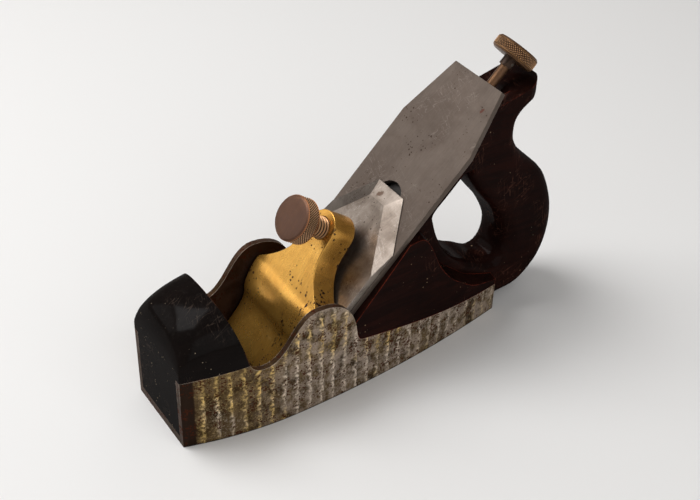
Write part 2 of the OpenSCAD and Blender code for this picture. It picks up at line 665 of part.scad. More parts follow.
// Cap iron with a curved nose and a bevel on its three upper edges
module cap_iron() {
    low = edge_lift + setback;
    flat = low + 9;
    shoulder = cap_iron_top - cap_iron_shoulder_l;
    bevel_turn = atan2((cap_iron_w - cap_iron_top_w) / 2, cap_iron_shoulder_l);
    bevel_rise = (cap_iron_t - slide_gap - 0.5) / cap_iron_bevel;
    color("lightsteelblue") on_bed() difference() {
        intersection() {
            across(cap_iron_w) polygon(concat([[low + 4, slide_gap]],
                [[low, slide_gap], [low, slide_gap + 0.3]],
                bend([low + 0.2, 0.8], [low + 1.5, cap_iron_t - 0.9], [low + 4, cap_iron_t], [flat, cap_iron_t], 8),
                [[cap_iron_top - cap_iron_bevel, cap_iron_t], [cap_iron_top, slide_gap + 0.65],
                    [cap_iron_top, slide_gap]]));
            linear_extrude(2 * cap_iron_t) polygon([[-cap_iron_w / 2, 0], [cap_iron_w / 2, 0],
                [cap_iron_w / 2, shoulder], [cap_iron_top_w / 2 - 2 * tan(bevel_turn), cap_iron_top + 2],
                [2 * tan(bevel_turn) - cap_iron_top_w / 2, cap_iron_top + 2], [-cap_iron_w / 2, shoulder]]);
        }
        for (side = [-1, 1])
            translate([side * cap_iron_top_w / 2, cap_iron_top, 0]) mirror([side > 0 ? 0 : 1, 0, 0])
                rotate([0, 0, bevel_turn - 90]) rotate([90, 0, 90]) translate([0, 0, -3 * cap_iron_top_w])
                    linear_extrude(6 * cap_iron_top_w) polygon([[20, slide_gap + 0.5 - 20 * bevel_rise],
                        [-20, slide_gap + 0.5 + 20 * bevel_rise], [20, slide_gap + 0.5 + 20 * bevel_rise]]);
        translate([0, cap_screw_at, -over]) cylinder(h = 3 * cap_iron_t, d = cap_screw_d + 2 * still_fit, $fn = round_fn);
    }
}
module cap_iron_screw() {
    color("gray") on_bed() difference() {
        translate([0, cap_screw_at, 0]) union() {
            translate([0, 0, -cutter_t - cap_screw_head_t])
                cylinder(h = cap_screw_head_t - slide_gap, d = cap_screw_head_d, $fn = round_fn);
            translate([0, 0, -cutter_t - cap_screw_head_t / 2])
                cylinder(h = cutter_t + cap_screw_head_t / 2 + cap_iron_t - 0.2, d = cap_screw_d, $fn = round_fn);
        }
        translate([-cap_screw_head_d, cap_screw_at - 0.7, -cutter_t - cap_screw_head_t - over])
            cube([2 * cap_screw_head_d, 1.4, over + 1.6]);
    }
}

// Lever cap coordinates: Y along its upper part, Z out along the clamping screw
module on_lever() {
    on_bed() translate([0, lever_screw_at, cap_iron_t]) rotate([lever_tilt, 0, 0]) children();
}
// A place in lever cap coordinates, given in bed coordinates
function lever_pt(y, z) = [lever_screw_at + y * cos(lever_tilt) - z * sin(lever_tilt),
    cap_iron_t + y * sin(lever_tilt) + z * cos(lever_tilt)];
lever_side = concat(
    [[lip_at, cap_iron_t + slide_gap], [lip_at + 4, cap_iron_t + slide_gap], [lip_at + 8, cap_iron_t + 1.1],
        [lever_screw_at - (lever_rise - 1.1) / sin(lever_tilt), cap_iron_t + 1.1],
        lever_pt(lever_top_w / 2 + over, lever_rise)],
    [lever_pt(lever_top_w / 2 + over, lever_rise + lever_t)],
    bend(lever_pt(-34, lever_rise + lever_t), [lever_pin_at + 10, lever_pin_up + 10.4],
        [lever_pin_at - 1.5, lever_pin_up + 7.6], [lever_pin_at - 6, lever_pin_up + 3.8], 8),
    bend([lever_pin_at - 7, lever_pin_up + 2.6], [lever_pin_at - 11, lever_pin_up - 1.6],
        [lip_at + 15, cap_iron_t + 5.4], [lip_at + 6, cap_iron_t + 4.6], 6),
    bend([lip_at + 3, cap_iron_t + 4.2], [lip_at, cap_iron_t + 3.8], [lip_at - 1.4, cap_iron_t + 3],
        [lip_at - 1.2, cap_iron_t + 1.2], 4));
lever_half = concat(
    [[lever_w / 2, -3 * lever_flare_l - 12], [lever_w / 2, -lever_neck_l - lever_flare_l]],
    bend([lever_w / 2, -lever_neck_l - lever_flare_l], [lever_top_w / 2 + 9, -lever_neck_l - lever_flare_l + 7],
        [lever_top_w / 2, -lever_neck_l - 11], [lever_top_w / 2, -lever_neck_l], 10),
    [for (a = [0 : 10 : 90]) lever_top_w / 2 * [cos(a), sin(a)]]);
lever_mirror = [for (i = [len(lever_half) - 2 : -1 : 0]) [-lever_half[i][0], lever_half[i][1]]];
module lever_cap() {
    color("goldenrod") difference() {
        intersection() {
            on_bed() across(lever_w + 2 * over) polygon(lever_side);
            on_lever() translate([0, 0, -lever_w]) linear_extrude(3 * lever_w) polygon(concat(lever_half, lever_mirror));
        }
        on_lever() translate([0, 0, -over])
            cylinder(h = 3 * lever_t, d = thumb_thread_d + 2 * run_fit, $fn = round_fn);
        lever_pin_bar(run_fit);
    }
}

// A turned piece with thread ridges between two heights
function ridges(r, depth, pitch, low, high) = let (n = floor((high - low) / pitch), step = (high - low) / n)
    [for (i = [0 : n - 1], p = [[r - depth, low + i * step], [r, low + (i + 0.35) * step],
        [r, low + (i + 0.65) * step]]) p];
pad_low = 0.15;
pad_bore_d = 5.1;
pad_top = pad_low + pad_t;
knob_low = lever_rise + lever_t + thumb_reach;
knob_edge = 1.2;
module lever_cap_screw() {
    r = thumb_thread_d / 2;
    nose_r = pad_bore_d / 2 - run_fit;
    knob_r = thumb_knob_d / 2;
    color("sienna") on_lever() rotate_extrude($fn = round_fn) polygon(concat(
        [[0, pad_low + 1.6], [nose_r, pad_low + 1.6], [nose_r, pad_top + slide_gap], [r - 1, pad_top + slide_gap]],
        ridges(r, 0.14 * r, thumb_pitch, pad_top + 0.6, knob_low - 1),
        [[r - 1, knob_low - 1], [r - 1, knob_low], [knob_r - knob_edge, knob_low], [knob_r, knob_low + knob_edge],
            [knob_r, knob_low + thumb_knob_t - knob_edge], [knob_r - knob_edge, knob_low + thumb_knob_t],
            [0, knob_low + thumb_knob_t]]));
}
// The pad's face is domed so that it rests on the cap iron at any tilt
pad_dome_r = 8;
module pressure_pad() {
    color("peru") on_lever() difference() {
        intersection() {
            translate([0, 0, pad_low]) cylinder(h = pad_t, d = pad_d, $fn = round_fn);
            translate([0, 0, pad_low + pad_dome_r]) sphere(r = pad_dome_r, $fn = round_fn);
        }
        translate([0, 0, pad_low + 1.6 - slide_gap]) cylinder(h = pad_t, d = pad_bore_d, $fn = round_fn);
    }
}

// Carriage: a ring round the cap iron screw's head, joined to the feed nut
ring_top = -cutter_t - 0.7;
module carriage() {
    arm_w = nut_w - 2;
    color("darkgoldenrod") on_bed() difference() {
        union() {
            translate([0, cap_screw_at, ring_top - ring_t]) cylinder(h = ring_t, r = ring_out, $fn = round_fn);
            translate([-arm_w / 2, cap_screw_at + ring_out - 2, ring_top - ring_t])
                cube([arm_w, nut_low - cap_screw_at - ring_out + 4, ring_t]);
            translate([-nut_w / 2, nut_low, -spindle_down - nut_w / 2])
                cube([nut_w, nut_l, nut_w / 2 + spindle_down + ring_top]);
        }
        translate([0, cap_screw_at, ring_top - 2 * ring_t])
            cylinder(h = 3 * ring_t, d = cap_screw_head_d + 2 * run_fit, $fn = round_fn);
        translate([0, 0, -spindle_down]) rotate([-90, 0, 0])
            cylinder(h = 2 * nut_top, d = feed_thread_d + 2 * run_fit, $fn = round_fn);
    }
}

// Spindle along the bed, with its feed thread at the lower end
module on_spindle() {
    on_bed() translate([0, 0, -spindle_down]) rotate([-90, 0, 0]) children();
}
module adjuster_spindle() {
    r = spindle_d / 2;
    feed_r = feed_thread_d / 2;
    color("sienna") on_spindle() difference() {
        rotate_extrude($fn = round_fn) polygon(concat(
            [[0, spindle_low - 0.6], [feed_r - 0.6, spindle_low - 0.6]],
            ridges(feed_r, 0.35, feed_pitch, spindle_low, feed_thread_top),
            [[feed_r - 0.35, feed_thread_top], [r, feed_thread_top + 1], [r, knob_at + knob_t - 0.8],
                [0, knob_at + knob_t - 0.8]]));
        knob_pin_bar(still_fit);
    }
}
module stop_collars() {
    low = swivel_at - swivel_flats / 2 - slide_gap - stop_collar_l;
    high = swivel_at + swivel_flats / 2 + slide_gap;
    color("goldenrod") on_spindle() for (at = [low, high])
        translate([0, 0, at]) difference() {
            cylinder(h = stop_collar_l, d = stop_collar_d, $fn = round_fn);
            translate([0, 0, -over]) cylinder(h = stop_collar_l + 2 * over, d = spindle_d + 2 * still_fit, $fn = round_fn);
        }
}
knob_pin_d = 1.6;
module knob_pin_bar(gap = 0) {
    translate([-knob_collar_d / 2 - gap, 0, knob_at - knob_collar_l / 2]) rotate([0, 90, 0])
        cylinder(h = knob_collar_d + 2 * gap, d = knob_pin_d + 2 * gap, $fn = 32);
}
module knob_collar() {
    color("sienna") on_spindle() difference() {
        translate([0, 0, knob_at - knob_collar_l]) cylinder(h = knob_collar_l, d = knob_collar_d, $fn = round_fn);
        translate([0, 0, knob_at - 2 * knob_collar_l])
            cylinder(h = 3 * knob_collar_l, d = spindle_d + 2 * still_fit, $fn = round_fn);
        knob_pin_bar(still_fit);
    }
}
module knob_pin() {
    color("gray") on_spindle() intersection() {
        knob_pin_bar();
        translate([0, 0, knob_at - knob_collar_l]) cylinder(h = knob_collar_l, d = knob_collar_d, $fn = round_fn);
    }
}
module adjuster_knob() {
    r = knob_d / 2;
    bore_r = spindle_d / 2 + still_fit;
    color("peru") on_spindle() translate([0, 0, knob_at]) rotate_extrude($fn = round_fn) polygon([
        [bore_r, 0], [r - knob_edge, 0], [r, knob_edge], [r, knob_t - knob_edge], [r - knob_edge, knob_t],
        [bore_r, knob_t]]);
}

// Swivel barrel with flats for the collars, turning in the plate below it
module swivel_barrel() {
    top = ring_top - 0.4;
    stub = swivel_plate_t - 0.4;
    color("darkgoldenrod") on_bed() difference() {
        union() {
            intersection() {
                translate([0, swivel_at, barrel_floor + slide_gap])
                    cylinder(h = top - barrel_floor - slide_gap, d = swivel_d, $fn = round_fn);
                translate([-swivel_d, swivel_at - swivel_flats / 2, barrel_floor])
                    cube([2 * swivel_d, swivel_flats, top - barrel_floor]);
            }
            translate([0, swivel_at, barrel_floor - stub])
                cylinder(h = stub + over, d = swivel_pivot_d, $fn = round_fn);
        }
        translate([0, 0, -spindle_down]) rotate([-90, 0, 0])
            cylinder(h = 2 * swivel_at, d = spindle_d + 2 * run_fit, $fn = round_fn);
    }
}
swivel_screw_run = swivel_plate_l / 2 - 3.2;
swivel_screw_d = 2.6;
module swivel_screw_shapes(gap = 0) {
    for (way = [-1, 1])
        translate([0, swivel_at + way * swivel_screw_run, barrel_floor]) {
            translate([0, 0, -6]) cylinder(h = 6 + gap, d = swivel_screw_d + 2 * gap, $fn = 48);
            translate([0, 0, -swivel_screw_d / 2])
                cylinder(h = swivel_screw_d / 2, r1 = swivel_screw_d / 2 + gap, r2 = swivel_screw_d + gap, $fn = 48);
        }
}
module swivel_plate() {
    color("darkgoldenrod") on_bed() difference() {
        translate([-swivel_plate_w / 2, swivel_at - swivel_plate_l / 2, barrel_floor - swivel_plate_t])
            cube([swivel_plate_w, swivel_plate_l, swivel_plate_t]);
        translate([0, swivel_at, barrel_floor - 2 * swivel_plate_t])
            cylinder(h = 3 * swivel_plate_t, d = swivel_pivot_d + 2 * run_fit, $fn = round_fn);
        swivel_screw_shapes(still_fit);
    }
}
module swivel_screws() {
    color("gray") on_bed() difference() {
        swivel_screw_shapes();
        translate([-swivel_screw_d - over, swivel_at - swivel_screw_run - 0.3, barrel_floor - 0.5])
            cube([2 * swivel_screw_d + 2 * over, 0.6, over]);
        translate([-swivel_screw_d - over, swivel_at + swivel_screw_run - 0.3, barrel_floor - 0.5])
            cube([2 * swivel_screw_d + 2 * over, 0.6, over]);
    }
}

sole_plate();
left_side();
right_side();
front_bun();
left_cheek();
right_cheek();
tote();
bed_block();
bed_rivets();
stuffing_rivets();
sole_screws();
lever_cap_pin();
lever_cap();
lever_cap_screw();
pressure_pad();
cutting_iron();
cap_iron();
cap_iron_screw();
carriage();
adjuster_spindle();
stop_collars();
knob_collar();
knob_pin();
adjuster_knob();
swivel_barrel();
swivel_plate();
swivel_screws();
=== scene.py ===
"""Looks of an infill smoothing plane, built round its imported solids.

X runs across the plane, Y along it with the toe at -Y, and Z up from the sole.
All lengths are in metres. Sizes that the solids' source also holds are repeated here.
"""

from __future__ import annotations

import logging
import math
from dataclasses import dataclass, field
from enum import Enum
from functools import cache, cached_property
from typing import Callable, Iterable

import bmesh
import bpy
from bpy.types import Material, Mesh, Node, NodeSocket, NodeTree, Object
from mathutils import Matrix, Vector


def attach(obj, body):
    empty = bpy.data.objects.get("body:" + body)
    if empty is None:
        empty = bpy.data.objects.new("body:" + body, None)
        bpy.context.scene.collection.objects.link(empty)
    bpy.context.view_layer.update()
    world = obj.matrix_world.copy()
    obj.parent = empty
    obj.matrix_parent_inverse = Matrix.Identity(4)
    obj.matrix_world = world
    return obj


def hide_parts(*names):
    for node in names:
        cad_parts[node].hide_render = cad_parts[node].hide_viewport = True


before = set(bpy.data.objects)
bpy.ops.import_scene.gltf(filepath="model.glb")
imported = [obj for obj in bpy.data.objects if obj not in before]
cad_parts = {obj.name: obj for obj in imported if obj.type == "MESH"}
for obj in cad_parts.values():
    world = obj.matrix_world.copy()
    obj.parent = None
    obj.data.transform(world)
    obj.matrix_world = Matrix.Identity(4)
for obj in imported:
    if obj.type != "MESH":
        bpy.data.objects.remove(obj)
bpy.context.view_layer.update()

LOG = logging.getLogger("smoothing_plane")
MM = 0.001
WELD_DISTANCE = 2e-6
ON_AXIS = 1e-7
FLAT_ANGLE = math.radians(0.4)
FULL_TURN = 2 * math.pi
ORIGIN = (0.0, 0.0, 0.0)
BED_MOUTH = -52.4 * MM
BED_ANGLE = 45.5
SCALAR_RESULTS = ("DOT_PRODUCT", "DISTANCE", "LENGTH")

Colour = tuple[float, float, float]
Point = tuple[float, float, float]
Profile = list[tuple[float, float]]


class Slot(Enum):
    """The material slots that the finishes carry."""

    STEEL = "steel"
    SOLE = "sole"
    EBONISED = "ebonised"
    DARK_WOOD = "dark_wood"
    IRON = "iron"
    CAP_IRON = "cap_iron"
    GUNMETAL = "gunmetal"
    BRONZE = "bronze"
    DARK_STEEL = "dark_steel"


class Carrier(Enum):
    """The bodies that the dressed pieces ride on."""

    BASE = "base"
    LEVER = "lever"
    CLAMP_SCREW = "clamp_screw"
    SPINDLE = "spindle"
    CAP = "cap"
    CUTTER = "cutter"


# Node trees


class Value:
    """One output of a node. Arithmetic on it adds further nodes."""

    def __init__(self, graph: Graph, socket: NodeSocket) -> None:
        """Keeps the output and its graph."""
        self.graph, self.socket = graph, socket

    def __add__(self, other: Number) -> Value:
        """Returns the sum."""
        return self.graph.math("ADD", self, other)

    def __sub__(self, other: Number) -> Value:
        """Returns the difference."""
        return self.graph.math("SUBTRACT", self, other)

    def __rsub__(self, other: float) -> Value:
        """Returns a number less this value."""
        return self.graph.math("SUBTRACT", other, self)

    def __mul__(self, other: Number) -> Value:
        """Returns the product."""
        return self.graph.math("MULTIPLY", self, other)

    def __truediv__(self, other: Number) -> Value:
        """Returns the quotient."""
        return self.graph.math("DIVIDE", self, other)

    def __abs__(self) -> Value:
        """Returns the size without its sign."""
        return self.graph.math("ABSOLUTE", self)


Number = float | Value


class Outputs:
    """The outputs of one node."""

    def __init__(self, graph: Graph, node: Node) -> None:
        """Keeps the node and its graph."""
        self.graph, self.node = graph, node

    def __getitem__(self, key: int | str) -> Value:
        """Returns one output, by name or index."""
        return Value(self.graph, self.node.outputs[key])


class Graph:
    """Adds nodes to one tree and wires them in the same step."""

    def __init__(self, tree: NodeTree) -> None:
        """Keeps the tree that the nodes go into."""
        self.tree = tree

    def wire(self, node: Node, inputs: dict[int | str, object]) -> None:
        """Gives a node its inputs.

        Args:
            node: The node.
            inputs: Plain values or other nodes' outputs, by input name or index.
        """
        for key, value in inputs.items():
            if isinstance(value, Value):
                self.tree.links.new(value.socket, node.inputs[key])
            else:
                node.inputs[key].default_value = value

    def add(self, kind: str, inputs: dict[int | str, object] | None = None, **settings: object) -> Outputs:
        """Adds a node.

        Args:
            kind: Blender's type name of the node.
            inputs: Plain values or other nodes' outputs, by input name or index.
            settings: Properties of the node.

        Returns:
            The new node's outputs.
        """
        node = self.tree.nodes.new(kind)
        for name, value in settings.items():
            setattr(node, name, value)
        self.wire(node, inputs or {})
        return Outputs(self, node)

    def math(self, operation: str, first: Number, second: Number = 0.0) -> Value:
        """Returns the result of one Math node."""
        return self.add("ShaderNodeMath", {0: first, 1: second}, operation=operation)[0]

    def vector(self, operation: str, *values: Value | Point) -> Value:
        """Returns the result of one Vector Math node."""
        return self.add("ShaderNodeVectorMath", dict(enumerate(values)),
                        operation=operation)[int(operation in SCALAR_RESULTS)]

    def split(self, vector: Value) -> Outputs:
        """Returns a vector's X, Y and Z."""
        return self.add("ShaderNodeSeparateXYZ", {0: vector})

    def combine(self, x: Number, y: Number, z: Number = 0.0) -> Value:
        """Returns the vector of an X, a Y and a Z."""
        return self.add("ShaderNodeCombineXYZ", {0: x, 1: y, 2: z})[0]

    def ranged(self, value: Number, low: float, high: float, to_low: float = 0.0, to_high: float = 1.0) -> Value:
        """Returns a value mapped smoothly from one range to another, and held at its ends."""
        return self.add("ShaderNodeMapRange", {0: value, 1: low, 2: high, 3: to_low, 4: to_high},
                        interpolation_type="SMOOTHSTEP")[0]

    def mix(self, factor: Number, first: Value | Colour, second: Value | Colour) -> Value:
        """Returns a blend of two colours."""
        under, over = (value if isinstance(value, Value) else (*value, 1.0) for value in (first, second))
        return self.add("ShaderNodeMix", {0: factor, 6: under, 7: over}, data_type="RGBA", clamp_factor=True)[2]

    def noise(self, place: Value, scale: Number, detail: float = 4.0, rough: float = 0.55, bend: float = 0.0) -> Value:
        """Returns the height of a noise texture."""
        return self.add("ShaderNodeTexNoise", {"Vector": place, "Scale": scale, "Detail": detail,
                                               "Roughness": rough, "Distortion": bend})["Fac"]

    def wandered(self, start: Value, place: Value, reach: float, noise: dict[str, Number]) -> Value:
        """Returns the start moved up to a reach by the colour of a noise that is read at a place."""
        colour = self.add("ShaderNodeTexNoise", {"Vector": place, **noise})["Color"]
        return self.vector("MULTIPLY_ADD", colour, (reach, reach, reach), start)

    def stretched(self, place: Value, scale: Point, turn: Point = ORIGIN) -> Value:
        """Returns a place after a turn and a stretch of each axis."""
        return self.vector("MULTIPLY", self.add("ShaderNodeMapping", {"Vector": place, "Rotation": turn})[0], scale)

    def effect(self, shared: Effect, place: Value, **inputs: object) -> Outputs:
        """Places a shared effect's group and returns its outputs."""
        return self.add("ShaderNodeGroup", {"Vector": place, **inputs}, node_tree=shared.tree)


Fill = Callable[[Graph, Outputs], dict[str, Value]]


class Effect:
    """A shader group that all materials share, built on first use."""

    def __init__(self, fill: Fill, defaults: dict[str, float | Point]) -> None:
        """Keeps the function that fills the group and the defaults of its inputs."""
        self.fill, self.defaults = fill, {"Vector": ORIGIN, **defaults}

    @cached_property
    def tree(self) -> NodeTree:
        """Builds the group: its inputs, what the function adds, and its outputs.

        Returns:
            The group's node tree.
        """
        tree = bpy.data.node_groups.new(self.fill.__name__, "ShaderNodeTree")
        for label, default in self.defaults.items():
            kind = "NodeSocketVector" if isinstance(default, tuple) else "NodeSocketFloat"
            tree.interface.new_socket(label, in_out="INPUT", socket_type=kind).default_value = default
        graph = Graph(tree)
        results = self.fill(graph, graph.add("NodeGroupInput"))
        for label in results:
            tree.interface.new_socket(label, in_out="OUTPUT", socket_type="NodeSocketFloat")
        graph.add("NodeGroupOutput", results)
        return tree


def effect(**defaults: float | Point) -> Callable[[Fill], Effect]:
    """Makes a shared effect of the function below it, with these defaults for its inputs."""
    return lambda fill: Effect(fill, defaults)


# Effects


@effect(Radius=0.6 * MM, Patches=180.0, Amount=0.6)
def edge_wear(g: Graph, given: Outputs) -> dict[str, Value]:
    """Finds sharp edges by their rounded normal and breaks them up into worn stretches.

    Args:
        g: The group's graph.
        given: The group's inputs.

    Returns:
        The group's outputs by name.
    """
    rounded = g.add("ShaderNodeBevel", {"Radius": given["Radius"]}, samples=6)[0]
    alike = g.vector("DOT_PRODUCT", rounded, g.add("ShaderNodeNewGeometry")["Normal"])
    patches = g.noise(given["Vector"], given["Patches"], 5.0, 0.6)
    kept = given["Amount"] + (patches - 0.5) * 2.4
    return {"Mask": g.ranged(1.0 - alike, 0.01, 0.16) * g.ranged(kept, 0.2, 0.8)}


@effect(Scale=600.0, Clumps=60.0, Amount=0.5)
def speckle(g: Graph, given: Outputs) -> dict[str, Value]:
    """Keeps the middles of some cells as small round marks, such as pits, rust and dings.

    Args:
        g: The group's graph.
        given: The group's inputs.

    Returns:
        The group's outputs by name.
    """
    place, scale = given["Vector"], given["Scale"]
    moved = g.wandered(place, place, 0.6 * MM, {"Scale": scale})
    cells = g.add("ShaderNodeTexVoronoi", {"Vector": moved, "Scale": scale})
    clumps = g.ranged(g.noise(place, given["Clumps"], 3.0), 0.38, 0.66)
    size = given["Amount"] * (clumps * g.math("POWER", cells["Color"], 2.0))
    return {"Mask": g.ranged(size - cells["Distance"], -0.03, 0.12)}


@effect(Scale=60.0, Patches=45.0, Amount=0.6)
def scratches(g: Graph, given: Outputs) -> dict[str, Value]:
    """Cuts thin scratches that run two ways out of stretched noises.

    Args:
        g: The group's graph.
        given: The group's inputs.

    Returns:
        The group's outputs by name.
    """
    place, masks = given["Vector"], []
    for turn, stretch in (((0.3, 0.9, 0.5), (1.0, 9.0, 1.0)), ((1.2, 0.2, 2.1), (7.0, 1.0, 1.0))):
        lines = g.noise(g.stretched(place, stretch, turn), given["Scale"], 2.0, 0.5, 0.3)
        thin = g.ranged(abs(lines - 0.5), 0.0, 0.012, 1.0, 0.0)
        masks.append(thin * g.ranged(g.noise(place, given["Patches"], 2.0, 0.5), 0.5, 0.62))
    return {"Mask": g.math("MAXIMUM", *masks) * given["Amount"]}


@effect(Start=ORIGIN, End=(0.0, 0.0, 1.0 * MM), Width=1.0 * MM)
def placed_mark(g: Graph, given: Outputs) -> dict[str, Value]:
    """Draws one ragged mark round the line between two points.

    Args:
        g: The group's graph.
        given: The group's inputs.

    Returns:
        The group's outputs by name.
    """
    place, start = given["Vector"], given["Start"]
    arm, line = g.vector("SUBTRACT", place, start), g.vector("SUBTRACT", given["End"], start)
    share = g.vector("DOT_PRODUCT", arm, line) / g.vector("DOT_PRODUCT", line, line)
    held = g.add("ShaderNodeClamp", {0: share})[0]
    near = g.add("ShaderNodeVectorMath", {0: line, "Scale": held}, operation="SCALE")[0]
    reach = given["Width"] * (g.noise(place, 900.0, 4.0, 0.7) * 2.0)
    return {"Mask": g.ranged(g.vector("DISTANCE", arm, near) / reach, 0.6, 1.1, 1.0, 0.0)}


@effect(Lay=(1.0, 1.0, 1.0), Scale=900.0)
def brushed(g: Graph, given: Outputs) -> dict[str, Value]:
    """Draws fine lines left by grinding along one axis, and a broad cloud.

    Args:
        g: The group's graph.
        given: The group's inputs.

    Returns:
        The group's outputs by name.
    """
    lines = g.noise(g.vector("MULTIPLY", given["Vector"], given["Lay"]), given["Scale"], 3.0, 0.7)
    return {"Fine": lines, "Broad": g.noise(given["Vector"], 55.0, 4.0, 0.6)}


@effect(Scale=420.0, Amount=0.2)
def dust(g: Graph, given: Outputs) -> dict[str, Value]:
    """Settles dust on faces that look up.

    Args:
        g: The group's graph.
        given: The group's inputs.

    Returns:
        The group's outputs by name.
    """
    up = g.split(g.add("ShaderNodeTexCoord")["Normal"])["Z"]
    specks = g.noise(given["Vector"], given["Scale"], 8.0, 0.75)
    return {"Mask": g.ranged(up, 0.1, 0.9) * g.ranged(specks, 0.5, 0.72) * given["Amount"]}


@effect(Column=7.1 * MM, Row=7.2 * MM, Radius=4.5 * MM)
def turned_spots(g: Graph, given: Outputs) -> dict[str, Value]:
    """Draws columns of overlapping turned spots: one arc for each spot, its one side lit as a painted reflection, and
    the fine rings inside it.

    Args:
        g: The group's graph.
        given: The group's inputs.

    Returns:
        The group's outputs by name.
    """
    place, width, height = given["Vector"], given["Column"], given["Row"]
    moved = g.wandered(place, place, 2.2 * MM, {"Scale": 330.0, "Detail": 5.0, "Roughness": 0.7})
    parts = g.split(g.wandered(moved, place, 3.0 * MM, {"Scale": 45.0, "Detail": 1.0}))
    across = parts["Y"] / width
    column = g.math("FLOOR", across)
    u = (across - column - 0.5) * width
    up = parts["Z"] / height + g.math("FRACT", column * 0.37)
    row = g.math("FLOOR", up)
    v = (up - row - 0.5) * height
    reach = g.math("SQRT", u * u + v * v)
    arc = g.ranged(abs(reach / given["Radius"] - 0.84), 0.06, 0.40, 1.0, 0.0)
    # Painted reflection: the arc is lit only on one side of each spot, and at the far edge, where the rings would
    # catch the light.
    near_side, far_side = g.ranged(u / width, 0.05, 0.30), g.ranged(u / width, -0.5, -0.38, 0.6, 0.0)
    seed = g.add("ShaderNodeTexWhiteNoise", {"Vector": g.combine(column, row)})["Value"]
    chance = g.ranged(seed, 0.0, 0.8, 0.5, 1.0)
    gap = g.ranged(abs(v / height), 0.30, 0.5, 1.0, 0.25)
    patches = g.ranged(g.noise(place, 520.0, 6.0, 0.8), 0.40, 0.56)
    bright = g.math("MAXIMUM", arc * near_side, far_side) * (chance * gap * patches)
    return {"Bright": bright, "Rings": g.math("SINE", reach * (FULL_TURN / (0.62 * MM)))}


@effect(Scale=130.0)
def wood_grain(g: Graph, given: Outputs) -> dict[str, Value]:
    """Draws the figure and the pores of a dense wood that grows along Y.

    Args:
        g: The group's graph.
        given: The group's inputs.

    Returns:
        The group's outputs by name.
    """
    growth = (0.06, 0.0, 0.04)
    bands = g.noise(g.stretched(given["Vector"], (1.0, 0.12, 1.0), growth), given["Scale"], 5.0, 0.62, 1.2)
    pores = g.noise(g.stretched(given["Vector"], (1.0, 0.06, 1.0), growth), 1500.0, 2.0, 0.5)
    return {"Bands": g.ranged(bands, 0.34, 0.66), "Pores": g.ranged(pores, 0.58, 0.72)}


# Finishes


@dataclass(frozen=True)
class Mark:
    """One stain, ding or scratch at its own place, in millimetres, between two points."""

    start: Point
    end: Point
    width: float
    tone: Colour


@dataclass
class Surface:
    """What a finish's nodes give: colour, roughness, the bump's height, strength and depth, and fixed values."""

    tone: Value
    rough: Value
    height: Value
    bump: float
    depth: float
    fixed: dict[str, float]


@dataclass(frozen=True)
class Finish:
    """What every finish shares: its name, its material slot and the marks on it."""

    name: str
    slot: Slot
    marks: tuple[Mark, ...] = ()
    mark_share: float = 0.85

    def build(self) -> Material:
        """Builds the finish's material on first use.

        Returns:
            The material.
        """
        label = f"{self.name}_finish"
        known = bpy.data.materials.get(label)
        if known:
            return known
        material = bpy.data.materials.new(label)
        material.use_nodes = True
        graph = Graph(material.node_tree)
        look = self.shade(graph, graph.add("ShaderNodeTexCoord")["Object"])
        bump = graph.add("ShaderNodeBump", {"Height": look.height, "Strength": look.bump, "Distance": look.depth})[0]
        graph.wire(material.node_tree.nodes["Principled BSDF"],
                   {"Base Color": look.tone, "Roughness": look.rough, "Normal": bump, **look.fixed})
        return material

    def cover(self, mesh: Mesh) -> None:
        """Makes this finish a mesh's only one."""
        mesh.materials.clear()
        mesh.materials.append(self.build())

    def shade(self, g: Graph, place: Value) -> Surface:
        """Adds the finish's nodes. Each kind of finish does this its own way."""
        raise NotImplementedError

    def marked(self, g: Graph, place: Value, tone: Value) -> Value:
        """Puts the finish's own marks on its colour.

        Args:
            g: The material's graph.
            place: The place on the piece.
            tone: The colour without the marks.

        Returns:
            The colour with the marks.
        """
        for mark in self.marks:
            start, end = (tuple(value * MM for value in point) for point in (mark.start, mark.end))
            mask = g.effect(placed_mark, place, Start=start, End=end, Width=mark.width * MM)[0]
            tone = g.mix(mask * self.mark_share, tone, mark.tone)
        return tone


